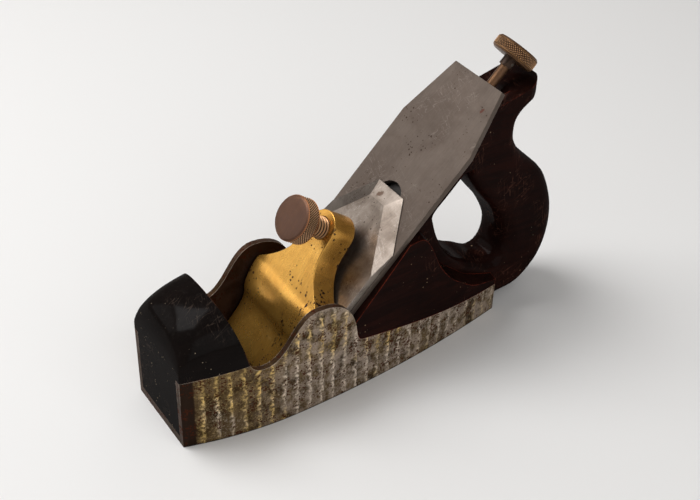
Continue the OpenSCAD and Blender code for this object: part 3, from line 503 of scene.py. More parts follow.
@dataclass(frozen=True)
class MetalFinish(Finish):
    """Bare metal with a handled surface: grinding lines, patina, pits, scratches and bright edges."""

    colour: Colour = (0.5, 0.5, 0.5)
    patina: Colour = (0.25, 0.2, 0.15)
    patina_share: float = 0.4
    patina_scale: float = 60.0
    pit_colour: Colour = (0.06, 0.04, 0.03)
    pits: float = 0.4
    pit_scale: float = 700.0
    edge: Colour = (0.8, 0.8, 0.8)
    edge_radius: float = 0.5 * MM
    edge_share: float = 0.5
    scratch: float = 0.4
    lay: Point = (1.0, 0.06, 0.06)
    lay_scale: float = 1500.0
    line_dirt: Colour = (0.03, 0.028, 0.026)
    dust_colour: Colour = (0.32, 0.29, 0.25)
    dust_share: float = 0.06
    rough: tuple[float, float] = (0.25, 0.45)
    metallic: float = 0.75
    bump: float = 0.12
    bump_depth: float = 0.05 * MM
    nicks_from: float = 0.0
    nicks_over: float = 4.0 * MM

    def shade(self, g: Graph, place: Value) -> Surface:
        """Adds the metal's nodes.

        Args:
            g: The material's graph.
            place: The place on the piece.

        Returns:
            The metal's surface.
        """
        lines = g.effect(brushed, place, Lay=self.lay, Scale=self.lay_scale)
        wear = g.effect(edge_wear, place, Radius=self.edge_radius, Amount=self.edge_share)[0]
        pits = g.effect(speckle, place, Scale=self.pit_scale, Amount=self.pits)[0]
        marks = g.effect(scratches, place, Amount=self.scratch)[0]
        specks = g.effect(dust, place, Amount=self.dust_share)[0]
        cloud = g.ranged(g.noise(place, self.patina_scale, 6.0, 0.68, 0.4), 0.36, 0.66)
        tone = g.mix(cloud * self.patina_share, self.colour, self.patina)
        tone = g.mix(g.ranged(lines["Fine"], 0.3, 0.7, 0.0, 0.16), tone, self.line_dirt)
        tone = g.mix(pits * 0.9, tone, self.pit_colour)
        if self.nicks_from:
            nicks = g.effect(speckle, g.stretched(place, (1.0, 0.45, 0.45)), Scale=1000.0, Clumps=130.0, Amount=1.15)
            share = g.ranged(g.split(place)["X"], self.nicks_from, self.nicks_from + self.nicks_over)
            tone = g.mix(nicks[0] * share, tone, self.pit_colour)
        tone = g.mix(wear, g.mix(marks * 0.55, tone, self.edge), self.edge)
        tone = self.marked(g, place, g.mix(specks, tone, self.dust_colour))
        rough = g.ranged(lines["Broad"], 0.3, 0.7, *self.rough) + (pits + specks) * 0.3
        height = lines["Fine"] * 0.35 - (pits * 1.2 + marks)
        return Surface(tone, rough, height, self.bump, self.bump_depth, {"Metallic": self.metallic})


@dataclass(frozen=True)
class TurnedSteelFinish(Finish):
    """Steel sides with columns of turned spots outside, their lit crescents a painted reflection, and brown patina on
    the rims and inside.
    """

    ground: Colour = (0.030, 0.015, 0.005)
    ground_light: Colour = (0.125, 0.078, 0.030)
    haze: Colour = (0.37, 0.295, 0.235)
    gold: Colour = (0.86, 0.60, 0.21)
    silver: Colour = (0.84, 0.72, 0.58)
    rust: Colour = (0.062, 0.016, 0.006)
    rim: Colour = (0.060, 0.032, 0.022)
    strip_tone: Colour = (0.018, 0.008, 0.0035)
    foot_tone: Colour = (0.02, 0.016, 0.014)
    inside: Colour = (0.035, 0.016, 0.008)
    bright_edge: Colour = (0.55, 0.46, 0.38)
    scratch_tone: Colour = (0.03, 0.025, 0.02)
    under: Colour = (0.30, 0.28, 0.26)
    strip_end: float = -98.5 * MM + 6.5 * MM
    foot: float = 1.1 * MM
    silver_from: float = -75.0 * MM
    silver_to: float = -25.0 * MM
    dull_from: float = 20.0 * MM
    dull_to: float = 70.0 * MM
    rim_above: float = 27.0 * MM
    rim_fade: float = 3.0 * MM
    rim_fall: float = 0.25

    def shade(self, g: Graph, place: Value) -> Surface:
        """Adds the outside pattern's nodes, and plain steel's elsewhere.

        Args:
            g: The material's graph.
            place: The place on the piece.

        Returns:
            The steel's surface.
        """
        spots = g.effect(turned_spots, place)
        at, facing = g.split(place), g.split(g.add("ShaderNodeTexCoord")["Normal"])
        outward = facing["X"] * g.math("SIGN", at["X"])
        outside = g.ranged(outward, 0.55, 0.75)
        ragged = at["Y"] + g.noise(place, 400.0) * (1.2 * MM)
        patterned = outside * g.ranged(ragged, self.strip_end, self.strip_end + 1.2 * MM)
        cloud = g.noise(place, 75.0, 6.0, 0.7, 0.5)
        fine = g.noise(place, 900.0, 4.0, 0.75)
        bright_zone = g.ranged(at["Y"], self.silver_from, self.silver_to)
        dull_zone = g.ranged(at["Y"], self.dull_from, self.dull_to, 1.0, 0.7)
        worn = g.ranged(g.noise(place, 34.0, 3.0, 0.5) + bright_zone * 0.2, 0.54, 0.72)
        tint = g.mix(worn, self.gold, self.silver)
        haze = g.ranged(g.noise(place, 150.0, 5.0, 0.7), 0.40, 0.62) * (bright_zone * 0.75)
        ground = g.mix(haze, g.mix(g.ranged(cloud, 0.35, 0.65), self.ground, self.ground_light), self.haze)
        ground = g.mix(g.ranged(fine, 0.5, 0.72, 0.0, 0.35), ground, tint)
        rings = g.ranged(spots["Rings"], 0.5, 1.0) * g.ranged(cloud, 0.42, 0.62)
        ground = g.mix(rings * 0.4, ground, self.haze)
        # Painted reflection: the turned spots' lit crescents, in gold and silver over the ground, dimmer towards the
        # heel.
        turned = g.mix(spots["Bright"] * (dull_zone * 0.95), ground, tint)
        strip = g.ranged(at["Y"], self.strip_end, self.strip_end + 1.5 * MM, 1.0, 0.0)
        brown = g.ranged(cloud, 0.38, 0.62)
        plain = g.mix(g.ranged(fine, 0.48, 0.7, 0.0, 0.4), g.mix(brown, self.rim, self.ground), self.ground_light)
        plain = g.mix(strip * outside, plain, self.strip_tone)
        inner = g.ranged(outward, -0.75, -0.55, 1.0, 0.0)
        tone = g.mix(inner, g.mix(patterned, plain, turned), g.mix(brown, self.inside, self.rim))
        down = g.ranged(facing["Z"], -0.9, -0.7, 1.0, 0.0)
        tone = g.mix(down, tone, g.mix(g.ranged(fine, 0.3, 0.7), self.under, self.ground_light))
        rust = g.effect(speckle, place, Scale=1000.0, Clumps=120.0, Amount=1.55)[0]
        tone = g.mix(rust * 0.88, tone, self.rust)
        foot = g.ranged(at["Z"], 0.2 * MM, self.foot, 1.0, 0.0) * outside
        tone = g.mix(foot * 0.75, tone, self.foot_tone)
        wear = g.effect(edge_wear, place, Radius=0.55 * MM, Amount=0.75)[0]
        heelward = g.math("MAXIMUM", at["Y"] - self.dull_from, 0.0)
        above = g.ranged(at["Z"] + heelward * self.rim_fall, self.rim_above, self.rim_above + self.rim_fade)
        tone = g.mix(wear * above * 0.7, tone, self.bright_edge)
        marks = g.effect(scratches, place, Amount=0.5)[0]
        tone = self.marked(g, place, g.mix(marks * 0.5, tone, self.scratch_tone))
        rough = g.ranged(spots["Bright"], 0.0, 1.0, 0.55, 0.4) + rust * 0.3
        height = spots["Rings"] * patterned * 0.25 + (fine * 0.8 - (rust + marks))
        return Surface(tone, rough, height, 0.3, 0.06 * MM, {"Metallic": 0.5, "Specular IOR Level": 0.08})


@dataclass(frozen=True)
class WoodFinish(Finish):
    """Dense dark wood with a handled gloss, worn arrises, dings and scratches."""

    colour: Colour = (0.016, 0.0048, 0.0034)
    dark: Colour = (0.0040, 0.0022, 0.0020)
    pore_tone: Colour = (0.006, 0.005, 0.004)
    worn: Colour = (0.19, 0.030, 0.014)
    ding: Colour = (0.3, 0.2, 0.12)
    figure: float = 0.6
    edge_radius: float = 0.9 * MM
    edge_share: float = 0.62
    dings: float = 0.26
    ding_scale: float = 420.0
    scratch: float = 0.4
    scratch_tone: Colour = (0.20, 0.085, 0.055)
    dust_colour: Colour = (0.3, 0.27, 0.24)
    rough: tuple[float, float] = (0.3, 0.5)
    coat: float = 0.05

    def shade(self, g: Graph, place: Value) -> Surface:
        """Adds the nodes of the wood's figure, wear and gloss.

        Args:
            g: The material's graph.
            place: The place on the piece.

        Returns:
            The wood's surface.
        """
        grain = g.effect(wood_grain, place)
        wear = g.effect(edge_wear, place, Radius=self.edge_radius, Patches=120.0, Amount=self.edge_share)[0]
        dings = g.effect(speckle, place, Scale=self.ding_scale, Clumps=70.0, Amount=self.dings)[0]
        marks = g.effect(scratches, place, Scale=45.0, Amount=self.scratch)[0]
        cloud = g.ranged(g.noise(place, 34.0, 5.0, 0.6, 0.3), 0.4, 0.64)
        tone = g.mix(grain["Bands"] * self.figure, self.colour, self.dark)
        tone = g.mix(cloud * 0.45, tone, self.dark)
        tone = g.mix(grain["Pores"] * 0.6, tone, self.pore_tone)
        tone = g.mix(wear * 0.85, tone, self.worn)
        tone = g.mix(marks * 0.6, tone, self.scratch_tone)
        tone = g.mix(dings * 0.85, tone, self.ding)
        tone = self.marked(g, place, g.mix(g.effect(dust, place, Amount=0.02)[0], tone, self.dust_colour))
        rough = g.ranged(g.noise(place, 90.0, 5.0, 0.6), 0.32, 0.68, *self.rough) + (dings + wear) * 0.2
        height = g.noise(place, 160.0, 3.0, 0.5) * 1.6 - (dings + marks + grain["Pores"] * 0.3)
        return Surface(tone, rough, height, 0.35, 0.12 * MM,
                       {"Specular IOR Level": 0.0, "Coat Weight": self.coat, "Coat Roughness": 0.14})


@dataclass(frozen=True)
class GroovedFinish(MetalFinish):
    """Turned metal whose grooves, seen from its axis, hold old dirt while the crests are bright."""

    axis_point: Point = ORIGIN
    axis: Point = (0.0, 0.0, 1.0)
    valley: float = 11.6 * MM
    crest: float = 12.0 * MM
    dirt: Colour = (0.008, 0.005, 0.003)
    bright: Colour = (0.66, 0.38, 0.19)

    def shade(self, g: Graph, place: Value) -> Surface:
        """Adds the metal's nodes, then darkens its grooves and brightens its crests.

        Args:
            g: The material's graph.
            place: The place on the piece.

        Returns:
            The metal's surface with its grooves.
        """
        look = super().shade(g, place)
        arm = g.vector("SUBTRACT", place, self.axis_point)
        radius = g.vector("LENGTH", g.vector("CROSS_PRODUCT", arm, self.axis))
        foot, shoulder, top = (self.valley + share * (self.crest - self.valley) for share in (0.12, 0.34, 0.62))
        low = g.ranged(radius, foot, shoulder, 1.0, 0.0)
        inside = g.ranged(radius, self.valley - 0.6 * MM, self.valley - 0.3 * MM)
        dirty = g.mix(low * inside * 0.92, look.tone, self.dirt)
        look.tone = g.mix(g.ranged(radius, shoulder, top, 0.0, 0.9), dirty, self.bright)
        return look


TURNED_STEEL = TurnedSteelFinish("turned_steel", Slot.STEEL, marks=(
    Mark((32.5, -46.4, 18.3), (32.5, -51.6, 10.1), 0.22, (0.02, 0.013, 0.008)),
    Mark((32.5, -95.0, 20.5), (32.5, -78.0, 20.0), 0.45, (0.055, 0.016, 0.006))))
SOLE_STEEL = TurnedSteelFinish("sole_steel", Slot.SOLE)
EBONISED_WOOD = WoodFinish(
    "ebonised_wood", Slot.EBONISED, colour=(0.0075, 0.0052, 0.0046), dark=(0.0035, 0.0028, 0.0026),
    worn=(0.085, 0.030, 0.014), ding=(0.34, 0.27, 0.19), figure=0.4, edge_share=0.4, dings=0.32, ding_scale=520.0,
    scratch=0.5, scratch_tone=(0.10, 0.07, 0.055), rough=(0.26, 0.42), coat=0.07, marks=(
        Mark((-12.8, -76.4, 45.0), (-12.6, -76.2, 45.1), 0.5, (0.5, 0.42, 0.32)),
        Mark((-7.1, -63.1, 40.0), (-6.9, -62.9, 40.1), 0.5, (0.5, 0.42, 0.32))))
DARK_WOOD = WoodFinish("dark_wood", Slot.DARK_WOOD, marks=(
    Mark((13.5, 125.1, 43.3), (13.5, 125.5, 42.7), 0.5, (0.42, 0.34, 0.24)),
    Mark((13.5, 127.0, 37.8), (13.5, 127.2, 37.2), 0.5, (0.45, 0.37, 0.27)),
    Mark((13.5, 125.2, 62.0), (13.5, 126.6, 64.6), 0.35, (0.30, 0.14, 0.06))))
CUTTER_STEEL = MetalFinish(
    "cutter_steel", Slot.IRON, colour=(0.124, 0.094, 0.075), patina=(0.080, 0.054, 0.040), patina_share=0.6,
    patina_scale=46.0, pits=0.55, pit_colour=(0.045, 0.022, 0.012), rough=(0.5, 0.62), lay=(1.0, 0.08, 0.08),
    edge=(0.36, 0.31, 0.27), metallic=0.6,
    marks=(Mark((15.6, 78.2, 132.8), (16.2, 79.2, 133.8), 0.9, (0.085, 0.022, 0.012)),))
CAP_IRON_STEEL = MetalFinish(
    "cap_iron_steel", Slot.CAP_IRON, colour=(0.28, 0.235, 0.20), patina=(0.072, 0.049, 0.034), patina_share=0.65,
    pits=0.5, pit_scale=750.0, rough=(0.32, 0.44), edge=(0.6, 0.55, 0.5), metallic=0.9,
    marks=(Mark((-2.4, 31.4, 89.6), (-1.8, 32.4, 90.5), 1.6, (0.075, 0.042, 0.028)),))
GUNMETAL = MetalFinish(
    "gunmetal", Slot.GUNMETAL, colour=(0.76, 0.405, 0.08), patina=(0.50, 0.23, 0.036), patina_share=0.6,
    patina_scale=42.0, pit_colour=(0.055, 0.022, 0.012), pits=0.7, pit_scale=560.0, edge=(0.98, 0.66, 0.22),
    edge_radius=0.9 * MM, rough=(0.2, 0.32), scratch=0.6, metallic=0.8, nicks_from=6.0 * MM)
BRONZE = MetalFinish(
    "bronze", Slot.BRONZE, colour=(0.132, 0.063, 0.037), patina=(0.105, 0.052, 0.035), patina_share=0.6,
    patina_scale=80.0, edge=(0.50, 0.20, 0.075), edge_share=1.0, edge_radius=1.4 * MM, rough=(0.42, 0.55),
    pits=0.35, metallic=0.7)
GOLDEN_BRONZE = MetalFinish(
    "golden_bronze", Slot.BRONZE, colour=(0.17, 0.083, 0.036), patina=(0.085, 0.042, 0.022), patina_share=0.7,
    patina_scale=110.0, edge=(0.42, 0.22, 0.075), edge_share=0.7, edge_radius=0.6 * MM, rough=(0.38, 0.5), pits=0.3)
DARK_BRONZE = MetalFinish(
    "dark_bronze", Slot.BRONZE, colour=(0.050, 0.026, 0.015), patina=(0.025, 0.014, 0.009), patina_share=0.7,
    patina_scale=140.0, edge=(0.20, 0.10, 0.045), edge_share=0.6, edge_radius=0.3 * MM, rough=(0.38, 0.5),
    pits=0.3, metallic=0.7)
OILED_STEEL = MetalFinish(
    "oiled_steel", Slot.DARK_STEEL, colour=(0.02, 0.017, 0.015), patina=(0.012, 0.010, 0.008),
    edge=(0.05, 0.04, 0.03), rough=(0.45, 0.6), metallic=0.5)
DARK_STEEL = MetalFinish(
    "dark_steel", Slot.DARK_STEEL, colour=(0.10, 0.085, 0.072), patina=(0.05, 0.036, 0.028),
    edge=(0.3, 0.26, 0.22), rough=(0.4, 0.55), metallic=0.6)


# Shapes


@dataclass(frozen=True)
class Placing:
    """A tilted frame: its origin and the directions of its own axes."""

    matrix: Matrix

    @staticmethod
    def bed() -> Placing:
        """Returns the bed's frame: Y up the bed, Z out of it, from the mouth."""
        return Placing(Matrix.Identity(4)).then((0.0, BED_MOUTH, 0.0), BED_ANGLE)

    def then(self, offset: Point, tilt: float = 0.0) -> Placing:
        """Returns this frame moved by an offset and tilted about X, in degrees."""
        return Placing(self.matrix @ Matrix.Translation(offset) @ Matrix.Rotation(math.radians(tilt), 4, "X"))

    def spot(self, radius: float, angle: float, height: float) -> Vector:
        """Returns the place at a distance from this frame's Z axis, an angle round it and a height."""
        return self.matrix @ Vector((radius * math.cos(angle), radius * math.sin(angle), height))

    def grooved(self, name: str, valley: float, crest: float) -> GroovedFinish:
        """Makes a bronze for grooves about this frame's Z axis.

        Args:
            name: Name of the finish.
            valley: Distance of the grooves' bottoms from the axis.
            crest: Distance of their crests.

        Returns:
            The finish.
        """
        axis = self.matrix.to_3x3() @ Vector((0.0, 0.0, 1.0))
        return GroovedFinish(
            name, Slot.BRONZE, colour=(0.16, 0.085, 0.045), patina=(0.10, 0.05, 0.03), patina_share=0.6,
            patina_scale=120.0, edge=(0.4, 0.24, 0.12), edge_radius=0.12 * MM, edge_share=0.3, rough=(0.36, 0.5),
            pits=0.3, metallic=0.7, axis_point=tuple(self.matrix.translation), axis=tuple(axis), valley=valley,
            crest=crest)


def placed(name: str, data: bpy.types.ID) -> Object:
    """Puts data into the scene as a new object.

    Args:
        name: Name of the object.
        data: The mesh, lamp or camera that it holds.

    Returns:
        The object.
    """
    thing = bpy.data.objects.new(name, data)
    bpy.context.scene.collection.objects.link(thing)
    return thing


def piece(name: str, mesh: Mesh, finish: Finish, carrier: Carrier, *nodes: str) -> None:
    """Puts a mesh into the scene as one piece.

    Args:
        name: Name of the piece.
        mesh: Its mesh, already in place.
        finish: What it is finished in.
        carrier: The body that it rides on.
        nodes: The CAD nodes that it stands for.
    """
    thing = placed(name, mesh)
    finish.cover(mesh)
    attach(thing, carrier.value)
    if nodes:
        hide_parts(*nodes)
    LOG.info("piece %s on %s: %d faces", name, carrier.value, len(mesh.polygons))


def rounded_piece(node: str, name: str, width: float, finish: Finish, carrier: Carrier,
                  *rounding: float) -> None:
    """Puts a softened copy of a CAD node into the scene.

    Args:
        node: The CAD node, which the piece stands for.
        name: Name of the piece.
        width: Width of the rounding.
        finish: What it is finished in.
        carrier: The body that it rides on.
        rounding: The rounding's segments, corner and limit, where they aren't the usual ones.
    """
    piece(name, softened(node, name, width, *rounding), finish, carrier, node)


def smooth(mesh: Mesh, limit: float) -> None:
    """Shades a mesh smooth, apart from edges sharper than the limit in degrees."""
    mesh.shade_smooth()
    mesh.set_sharp_from_angle(angle=math.radians(limit))


def saved(work: bmesh.types.BMesh, name: str) -> Mesh:
    """Turns a work mesh into a plain mesh, and frees it.

    Args:
        work: The work mesh.
        name: Name of the plain mesh.

    Returns:
        The plain mesh.
    """
    mesh = bpy.data.meshes.new(name)
    work.to_mesh(mesh)
    work.free()
    return mesh


def evaluated(holder: Object) -> Mesh:
    """Returns the mesh that an object's modifiers make of it."""
    return bpy.data.meshes.new_from_object(holder.evaluated_get(bpy.context.evaluated_depsgraph_get()))


def softened(node: str, name: str, width: float, segments: int = 2, corner: float = 32.0,
             limit: float = 40.0) -> Mesh:
    """Copies a CAD node's mesh and rounds its corners.

    Args:
        node: The CAD node.
        name: Name of the new mesh.
        width: Width of the rounding.
        segments: Faces across the rounding.
        corner: Angle in degrees from which a corner is rounded.
        limit: Angle in degrees up to which the result is shaded smooth.

    Returns:
        The rounded mesh.
    """
    work = bmesh.new()
    work.from_mesh(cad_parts[node].data)
    bmesh.ops.remove_doubles(work, verts=work.verts, dist=WELD_DISTANCE)
    bmesh.ops.dissolve_limit(work, angle_limit=FLAT_ANGLE, verts=work.verts, edges=work.edges)
    copied = saved(work, name)
    holder = placed(f"{name}_work", copied)
    bevel = holder.modifiers.new("round", "BEVEL")
    bevel.width, bevel.segments, bevel.limit_method = width, segments, "ANGLE"
    bevel.angle_limit, bevel.use_clamp_overlap = math.radians(corner), True
    bevel.miter_outer = "MITER_ARC"
    rounded = evaluated(holder)
    smooth(rounded, limit)
    holder.modifiers.clear()
    holder.data = rounded
    holder.modifiers.new("flat_faces", "WEIGHTED_NORMAL").keep_sharp = True
    result = evaluated(holder)
    result.name = name
    bpy.data.objects.remove(holder)
    bpy.data.meshes.remove(copied)
    bpy.data.meshes.remove(rounded)
    return result


def skin(work: bmesh.types.BMesh, rings: list[list[bmesh.types.BMVert]]) -> None:
    """Lays faces from each ring of corners to the next.

    Args:
        work: The work mesh.
        rings: The rings, with as many corners each. A ring's corners can all be one point.
    """
    for low, high in zip(rings, rings[1:]):
        for i in range(len(low)):
            k = (i + 1) % len(low)
            corners = list(dict.fromkeys([low[i], low[k], high[k], high[i]]))
            if len(corners) > 2:
                work.faces.new(corners)


def closed(work: bmesh.types.BMesh, name: str, limit: float) -> Mesh:
    """Turns a closed work mesh into a plain one with its faces outwards.

    Args:
        work: The work mesh.
        name: Name of the plain mesh.
        limit: Angle in degrees up to which it is shaded smooth.

    Returns:
        The plain mesh.
    """
    bmesh.ops.recalc_face_normals(work, faces=work.faces)
    mesh = saved(work, name)
    smooth(mesh, limit)
    return mesh


def turned(name: str, profile: Profile, place: Placing, around: int = 96) -> Mesh:
    """Turns a profile about the frame's Z.

    Args:
        name: Name of the mesh.
        profile: Radius and height of each point, closed on the axis or in a ring.
        place: The frame that the profile is turned in.
        around: Steps round the axis.

    Returns:
        The closed mesh.
    """
    work = bmesh.new()
    rings = []
    for radius, height in profile:
        count = 1 if radius < ON_AXIS else around
        ring = [work.verts.new(place.spot(radius, FULL_TURN * i / around, height)) for i in range(count)]
        rings.append(ring * (around // count))
    skin(work, rings if profile[0][0] < ON_AXIS else rings + rings[:1])
    return closed(work, name, 35.0)


def helix(name: str, radius: float, depth: float, pitch: float, low: float, high: float, place: Placing,
          around: int = 40) -> Mesh:
    """Winds a screw thread's ridge round the frame's Z.

    Args:
        name: Name of the mesh.
        radius: Radius of the thread's crest.
        depth: Depth of the thread.
        pitch: Rise of one turn.
        low: Height where the thread starts.
        high: Height where it ends.
        place: The frame that it is wound in.
        around: Steps in one turn.

    Returns:
        The closed ridge.
    """
    work = bmesh.new()
    steps = int((high - low - pitch) / pitch * around)
    run_out = around * 0.4
    root = radius - 1.3 * depth
    rings = []
    for step in range(steps + 1):
        base = low + pitch * step / around
        fade = min(1.0, step / run_out, (steps - step) / run_out)
        crest = radius - depth * (1.0 - fade)
        section = ((root, base), (crest, base + 0.36 * pitch), (crest, base + 0.54 * pitch),
                   (root, base + 0.9 * pitch))
        rings.append([work.verts.new(place.spot(r, FULL_TURN * step / around, z)) for r, z in section])
    skin(work, rings)
    work.faces.new(rings[0])
    work.faces.new(list(reversed(rings[-1])))
    return closed(work, name, 30.0)


def joined(name: str, meshes: Iterable[Mesh]) -> Mesh:
    """Puts several meshes into one.

    Args:
        name: Name of the new mesh.
        meshes: The meshes.

    Returns:
        The new mesh.
    """
    work = bmesh.new()
    for mesh in meshes:
        work.from_mesh(mesh)
    return saved(work, name)


@dataclass
class Knob:
    """The head that both knobs share: a band of diamond knurling between two chamfers."""

    radius: float
    low: float
    thick: float
    rows: int
    around: int = 58
    depth: float = 0.5 * MM
    seat: float = 0.52 * MM
    chamfer: float = 1.2 * MM
    lip: float = 0.15 * MM
    lip_width: float = 0.1 * MM

    def __post_init__(self) -> None:
        """Works out the upper face, the faces' radius and the band's ends."""
        self.top, self.face = self.low + self.thick, self.radius - self.chamfer
        self.band = self.low + self.chamfer, self.top - self.chamfer

    def rim(self) -> Profile:
        """Returns the profile's part between the two chamfers."""
        (start, end), under, lip = self.band, self.radius - self.seat, self.radius - self.lip
        return [(lip, start - self.lip_width), (under, start), (under, end), (lip, end + self.lip_width)]

    def knurl(self, name: str, bronze: str, place: Placing, carrier: Carrier) -> None:
        """Adds the knurling as a piece of its own.

        Args:
            name: Name of the piece.
            bronze: Name of its finish.
            place: The knob's frame.
            carrier: The body that it rides on.
        """
        finish = place.grooved(bronze, self.radius - self.depth, self.radius)
        holder = placed(f"{name}_work", bpy.data.meshes.new(f"{name}_seed"))
        modifier = holder.modifiers.new("knurl", "NODES")
        modifier.node_group = self.tree()
        values = {"Around": self.around, "Rows": self.rows, "Radius": self.radius, "Low": self.band[0],
                  "High": self.band[1], "Depth": self.depth, "Material": finish.build()}
        for item in modifier.node_group.interface.items_tree:
            if item.in_out == "INPUT":
                modifier[item.identifier] = values[item.name]
        mesh = evaluated(holder)
        bpy.data.objects.remove(holder)
        mesh.name = name
        mesh.transform(place.matrix)
        piece(name, mesh, finish, carrier)

    @staticmethod
    @cache
    def tree() -> NodeTree:
        """Builds, on first use, the geometry tree that covers a band with small four-sided pyramids.

        Returns:
            The node tree.
        """
        tree = bpy.data.node_groups.new("diamond_knurl", "GeometryNodeTree")
        tree.interface.new_socket("Geometry", in_out="OUTPUT", socket_type="NodeSocketGeometry")
        for kind, labels in (("Int", ("Around", "Rows")), ("Float", ("Radius", "Low", "High", "Depth")),
                             ("Material", ("Material",))):
            for label in labels:
                tree.interface.new_socket(label, in_out="INPUT", socket_type=f"NodeSocket{kind}")
        g = Graph(tree)
        given = g.add("NodeGroupInput")
        around = given["Around"]
        line = g.add("GeometryNodeMeshLine", {"Count": around * given["Rows"]}, mode="OFFSET")[0]
        index = g.add("GeometryNodeInputIndex")[0]
        row = g.math("FLOOR", (index + 0.5) / around)
        stagger = g.math("FLOORED_MODULO", row, 2.0) * 0.5
        angle = (index - row * around + stagger) * FULL_TURN / around
        tall = (given["High"] - given["Low"]) / (given["Rows"] + 1.0)
        foot = given["Radius"] - given["Depth"]
        spot = g.combine(foot * g.math("COSINE", angle), foot * g.math("SINE", angle),
                         given["Low"] + (row + 1.0) * tall)
        points = g.add("GeometryNodeSetPosition", {"Geometry": line, "Position": spot})[0]
        pyramid = g.add("GeometryNodeMeshCone", {
            "Vertices": 4, "Side Segments": 1, "Fill Segments": 1, "Radius Top": 0.0, "Radius Bottom": 1.0,
            "Depth": given["Depth"]}, fill_type="NGON")["Mesh"]
        turn = g.add("FunctionNodeEulerToRotation", {0: g.combine(0.0, math.pi / 2, angle)})[0]
        size = g.combine(tall, foot * math.pi / around, 1.0)
        studs = g.add("GeometryNodeInstanceOnPoints", {"Points": points, "Instance": pyramid, "Rotation": turn,
                                                       "Scale": size})[0]
        real = g.add("GeometryNodeRealizeInstances", {0: studs})[0]
        done = g.add("GeometryNodeSetMaterial", {"Geometry": real, "Material": given["Material"]})[0]
        g.add("NodeGroupOutput", {0: done})
        return tree


# Sub-assemblies


@dataclass
class Channel:
    """The steel channel: sole, sides, bed block and everything riveted through them."""

    rim_round: float = 0.4 * MM
    plain_nodes: dict[str, Finish] = field(default_factory=lambda: {
        "sole_plate": SOLE_STEEL, "stuffing_rivets": TURNED_STEEL, "lever_cap_pin": TURNED_STEEL,
        "bed_block": DARK_STEEL, "bed_rivets": DARK_STEEL, "sole_screws": DARK_STEEL})

    def build(self) -> None:
        """Rounds the sides' rims and finishes the rest as it is."""
        for side in ("left_side", "right_side"):
            rounded_piece(side, f"{side}_plate", self.rim_round, TURNED_STEEL, Carrier.BASE)
        finish_nodes(self.plain_nodes)


@dataclass
class Woodwork:
    """The front grip, the cheeks and the closed rear handle."""

    arris: float = 0.7 * MM
    cheek_arris: float = 0.35 * MM
    handle_arris: float = 0.5 * MM

    def build(self) -> None:
        """Rounds the arrises of each piece of wood."""
        rounded_piece("front_bun", "front_grip", self.arris, EBONISED_WOOD, Carrier.BASE, 3, 30.0, 36.0)
        for side in ("left_cheek", "right_cheek"):
            rounded_piece(side, f"{side}_wood", self.cheek_arris, DARK_WOOD, Carrier.BASE, 2, 35.0, 36.0)
        rounded_piece("tote", "rear_handle", self.handle_arris, DARK_WOOD, Carrier.BASE, 2, 42.0, 40.0)


@dataclass
class CutterPair:
    """The cutter, its cap iron and the screw that joins them."""

    cutter_round: float = 0.3 * MM
    cap_round: float = 0.25 * MM

    def build(self) -> None:
        """Rounds both irons' edges slightly."""
        rounded_piece("cutting_iron", "cutter", self.cutter_round, CUTTER_STEEL, Carrier.CUTTER)
        rounded_piece("cap_iron", "cap_iron_plate", self.cap_round, CAP_IRON_STEEL, Carrier.CAP, 2, 14.0, 12.0)
        finish_nodes({"cap_iron_screw": DARK_STEEL})


@dataclass
class LeverCap:
    """The lever cap with its knurled clamping screw."""

    edge_round: float = 1.3 * MM
    origin_along: float = 95.9 * MM
    origin_up: float = 3.9 * MM
    tilt: float = 8.4
    head: Knob = field(default_factory=lambda: Knob(12.0 * MM, 33.5 * MM, 9.0 * MM, 9))
    thread_radius: float = 5.75 * MM
    thread_depth: float = 0.8 * MM
    thread_low: float = 4.2 * MM
    thread_end: float = 1.0 * MM
    pitch: float = 2.0 * MM
    nose_radius: float = 2.5 * MM
    nose_low: float = 1.75 * MM
    neck_step: float = 0.6 * MM

    def place(self) -> Placing:
        """Returns the clamping screw's frame, Z along its axis."""
        return Placing.bed().then((0.0, self.origin_along, self.origin_up), self.tilt)

    def head_mesh(self) -> Mesh:
        """Makes the head under its knurl, with a slightly hollow top.

        Returns:
            The mesh.
        """
        head = self.head
        profile = [(0.0, head.low), (head.face - 0.3 * MM, head.low), (head.face, head.low + 0.05 * MM), *head.rim(),
                   (head.face + 0.1 * MM, head.top - 0.1 * MM), (head.face - 0.25 * MM, head.top),
                   (0.6 * head.radius, head.top - 0.04 * MM), (0.0, head.top - 0.06 * MM)]
        return turned("clamping_screw_head", profile, self.place())

    def stem_mesh(self) -> Mesh:
        """Makes the stem with its thread.

        Returns:
            The mesh.
        """
        core = self.thread_radius - self.thread_depth
        neck, end = self.thread_low - 0.5 * MM, self.head.low + 0.1 * MM
        profile = [(0.0, self.nose_low), (self.nose_radius, self.nose_low), (self.nose_radius, neck),
                   (core - self.neck_step, neck), (core, self.thread_low + 0.4 * MM), (core, end), (0.0, end)]
        stem = turned("clamp_stem", profile, self.place())
        thread = helix("clamp_thread", self.thread_radius, self.thread_depth, self.pitch, self.thread_low,
                             self.head.low - self.thread_end, self.place())
        return joined("clamping_screw_stem", (stem, thread))

    def build(self) -> None:
        """Builds the cap, the screw and its knurl."""
        screw = Carrier.CLAMP_SCREW
        rounded_piece("lever_cap", "lever_cap_casting", self.edge_round, GUNMETAL, Carrier.LEVER, 3, 30.0, 40.0)
        piece("clamping_screw_head", self.head_mesh(), BRONZE, screw, "lever_cap_screw")
        stem = self.place().grooved("threaded_bronze", self.thread_radius - self.thread_depth, self.thread_radius)
        piece("clamping_screw_stem", self.stem_mesh(), stem, screw)
        self.head.knurl("clamping_screw_knurl", "clamp_knurl_bronze", self.place(), screw)
        finish_nodes({"pressure_pad": BRONZE})


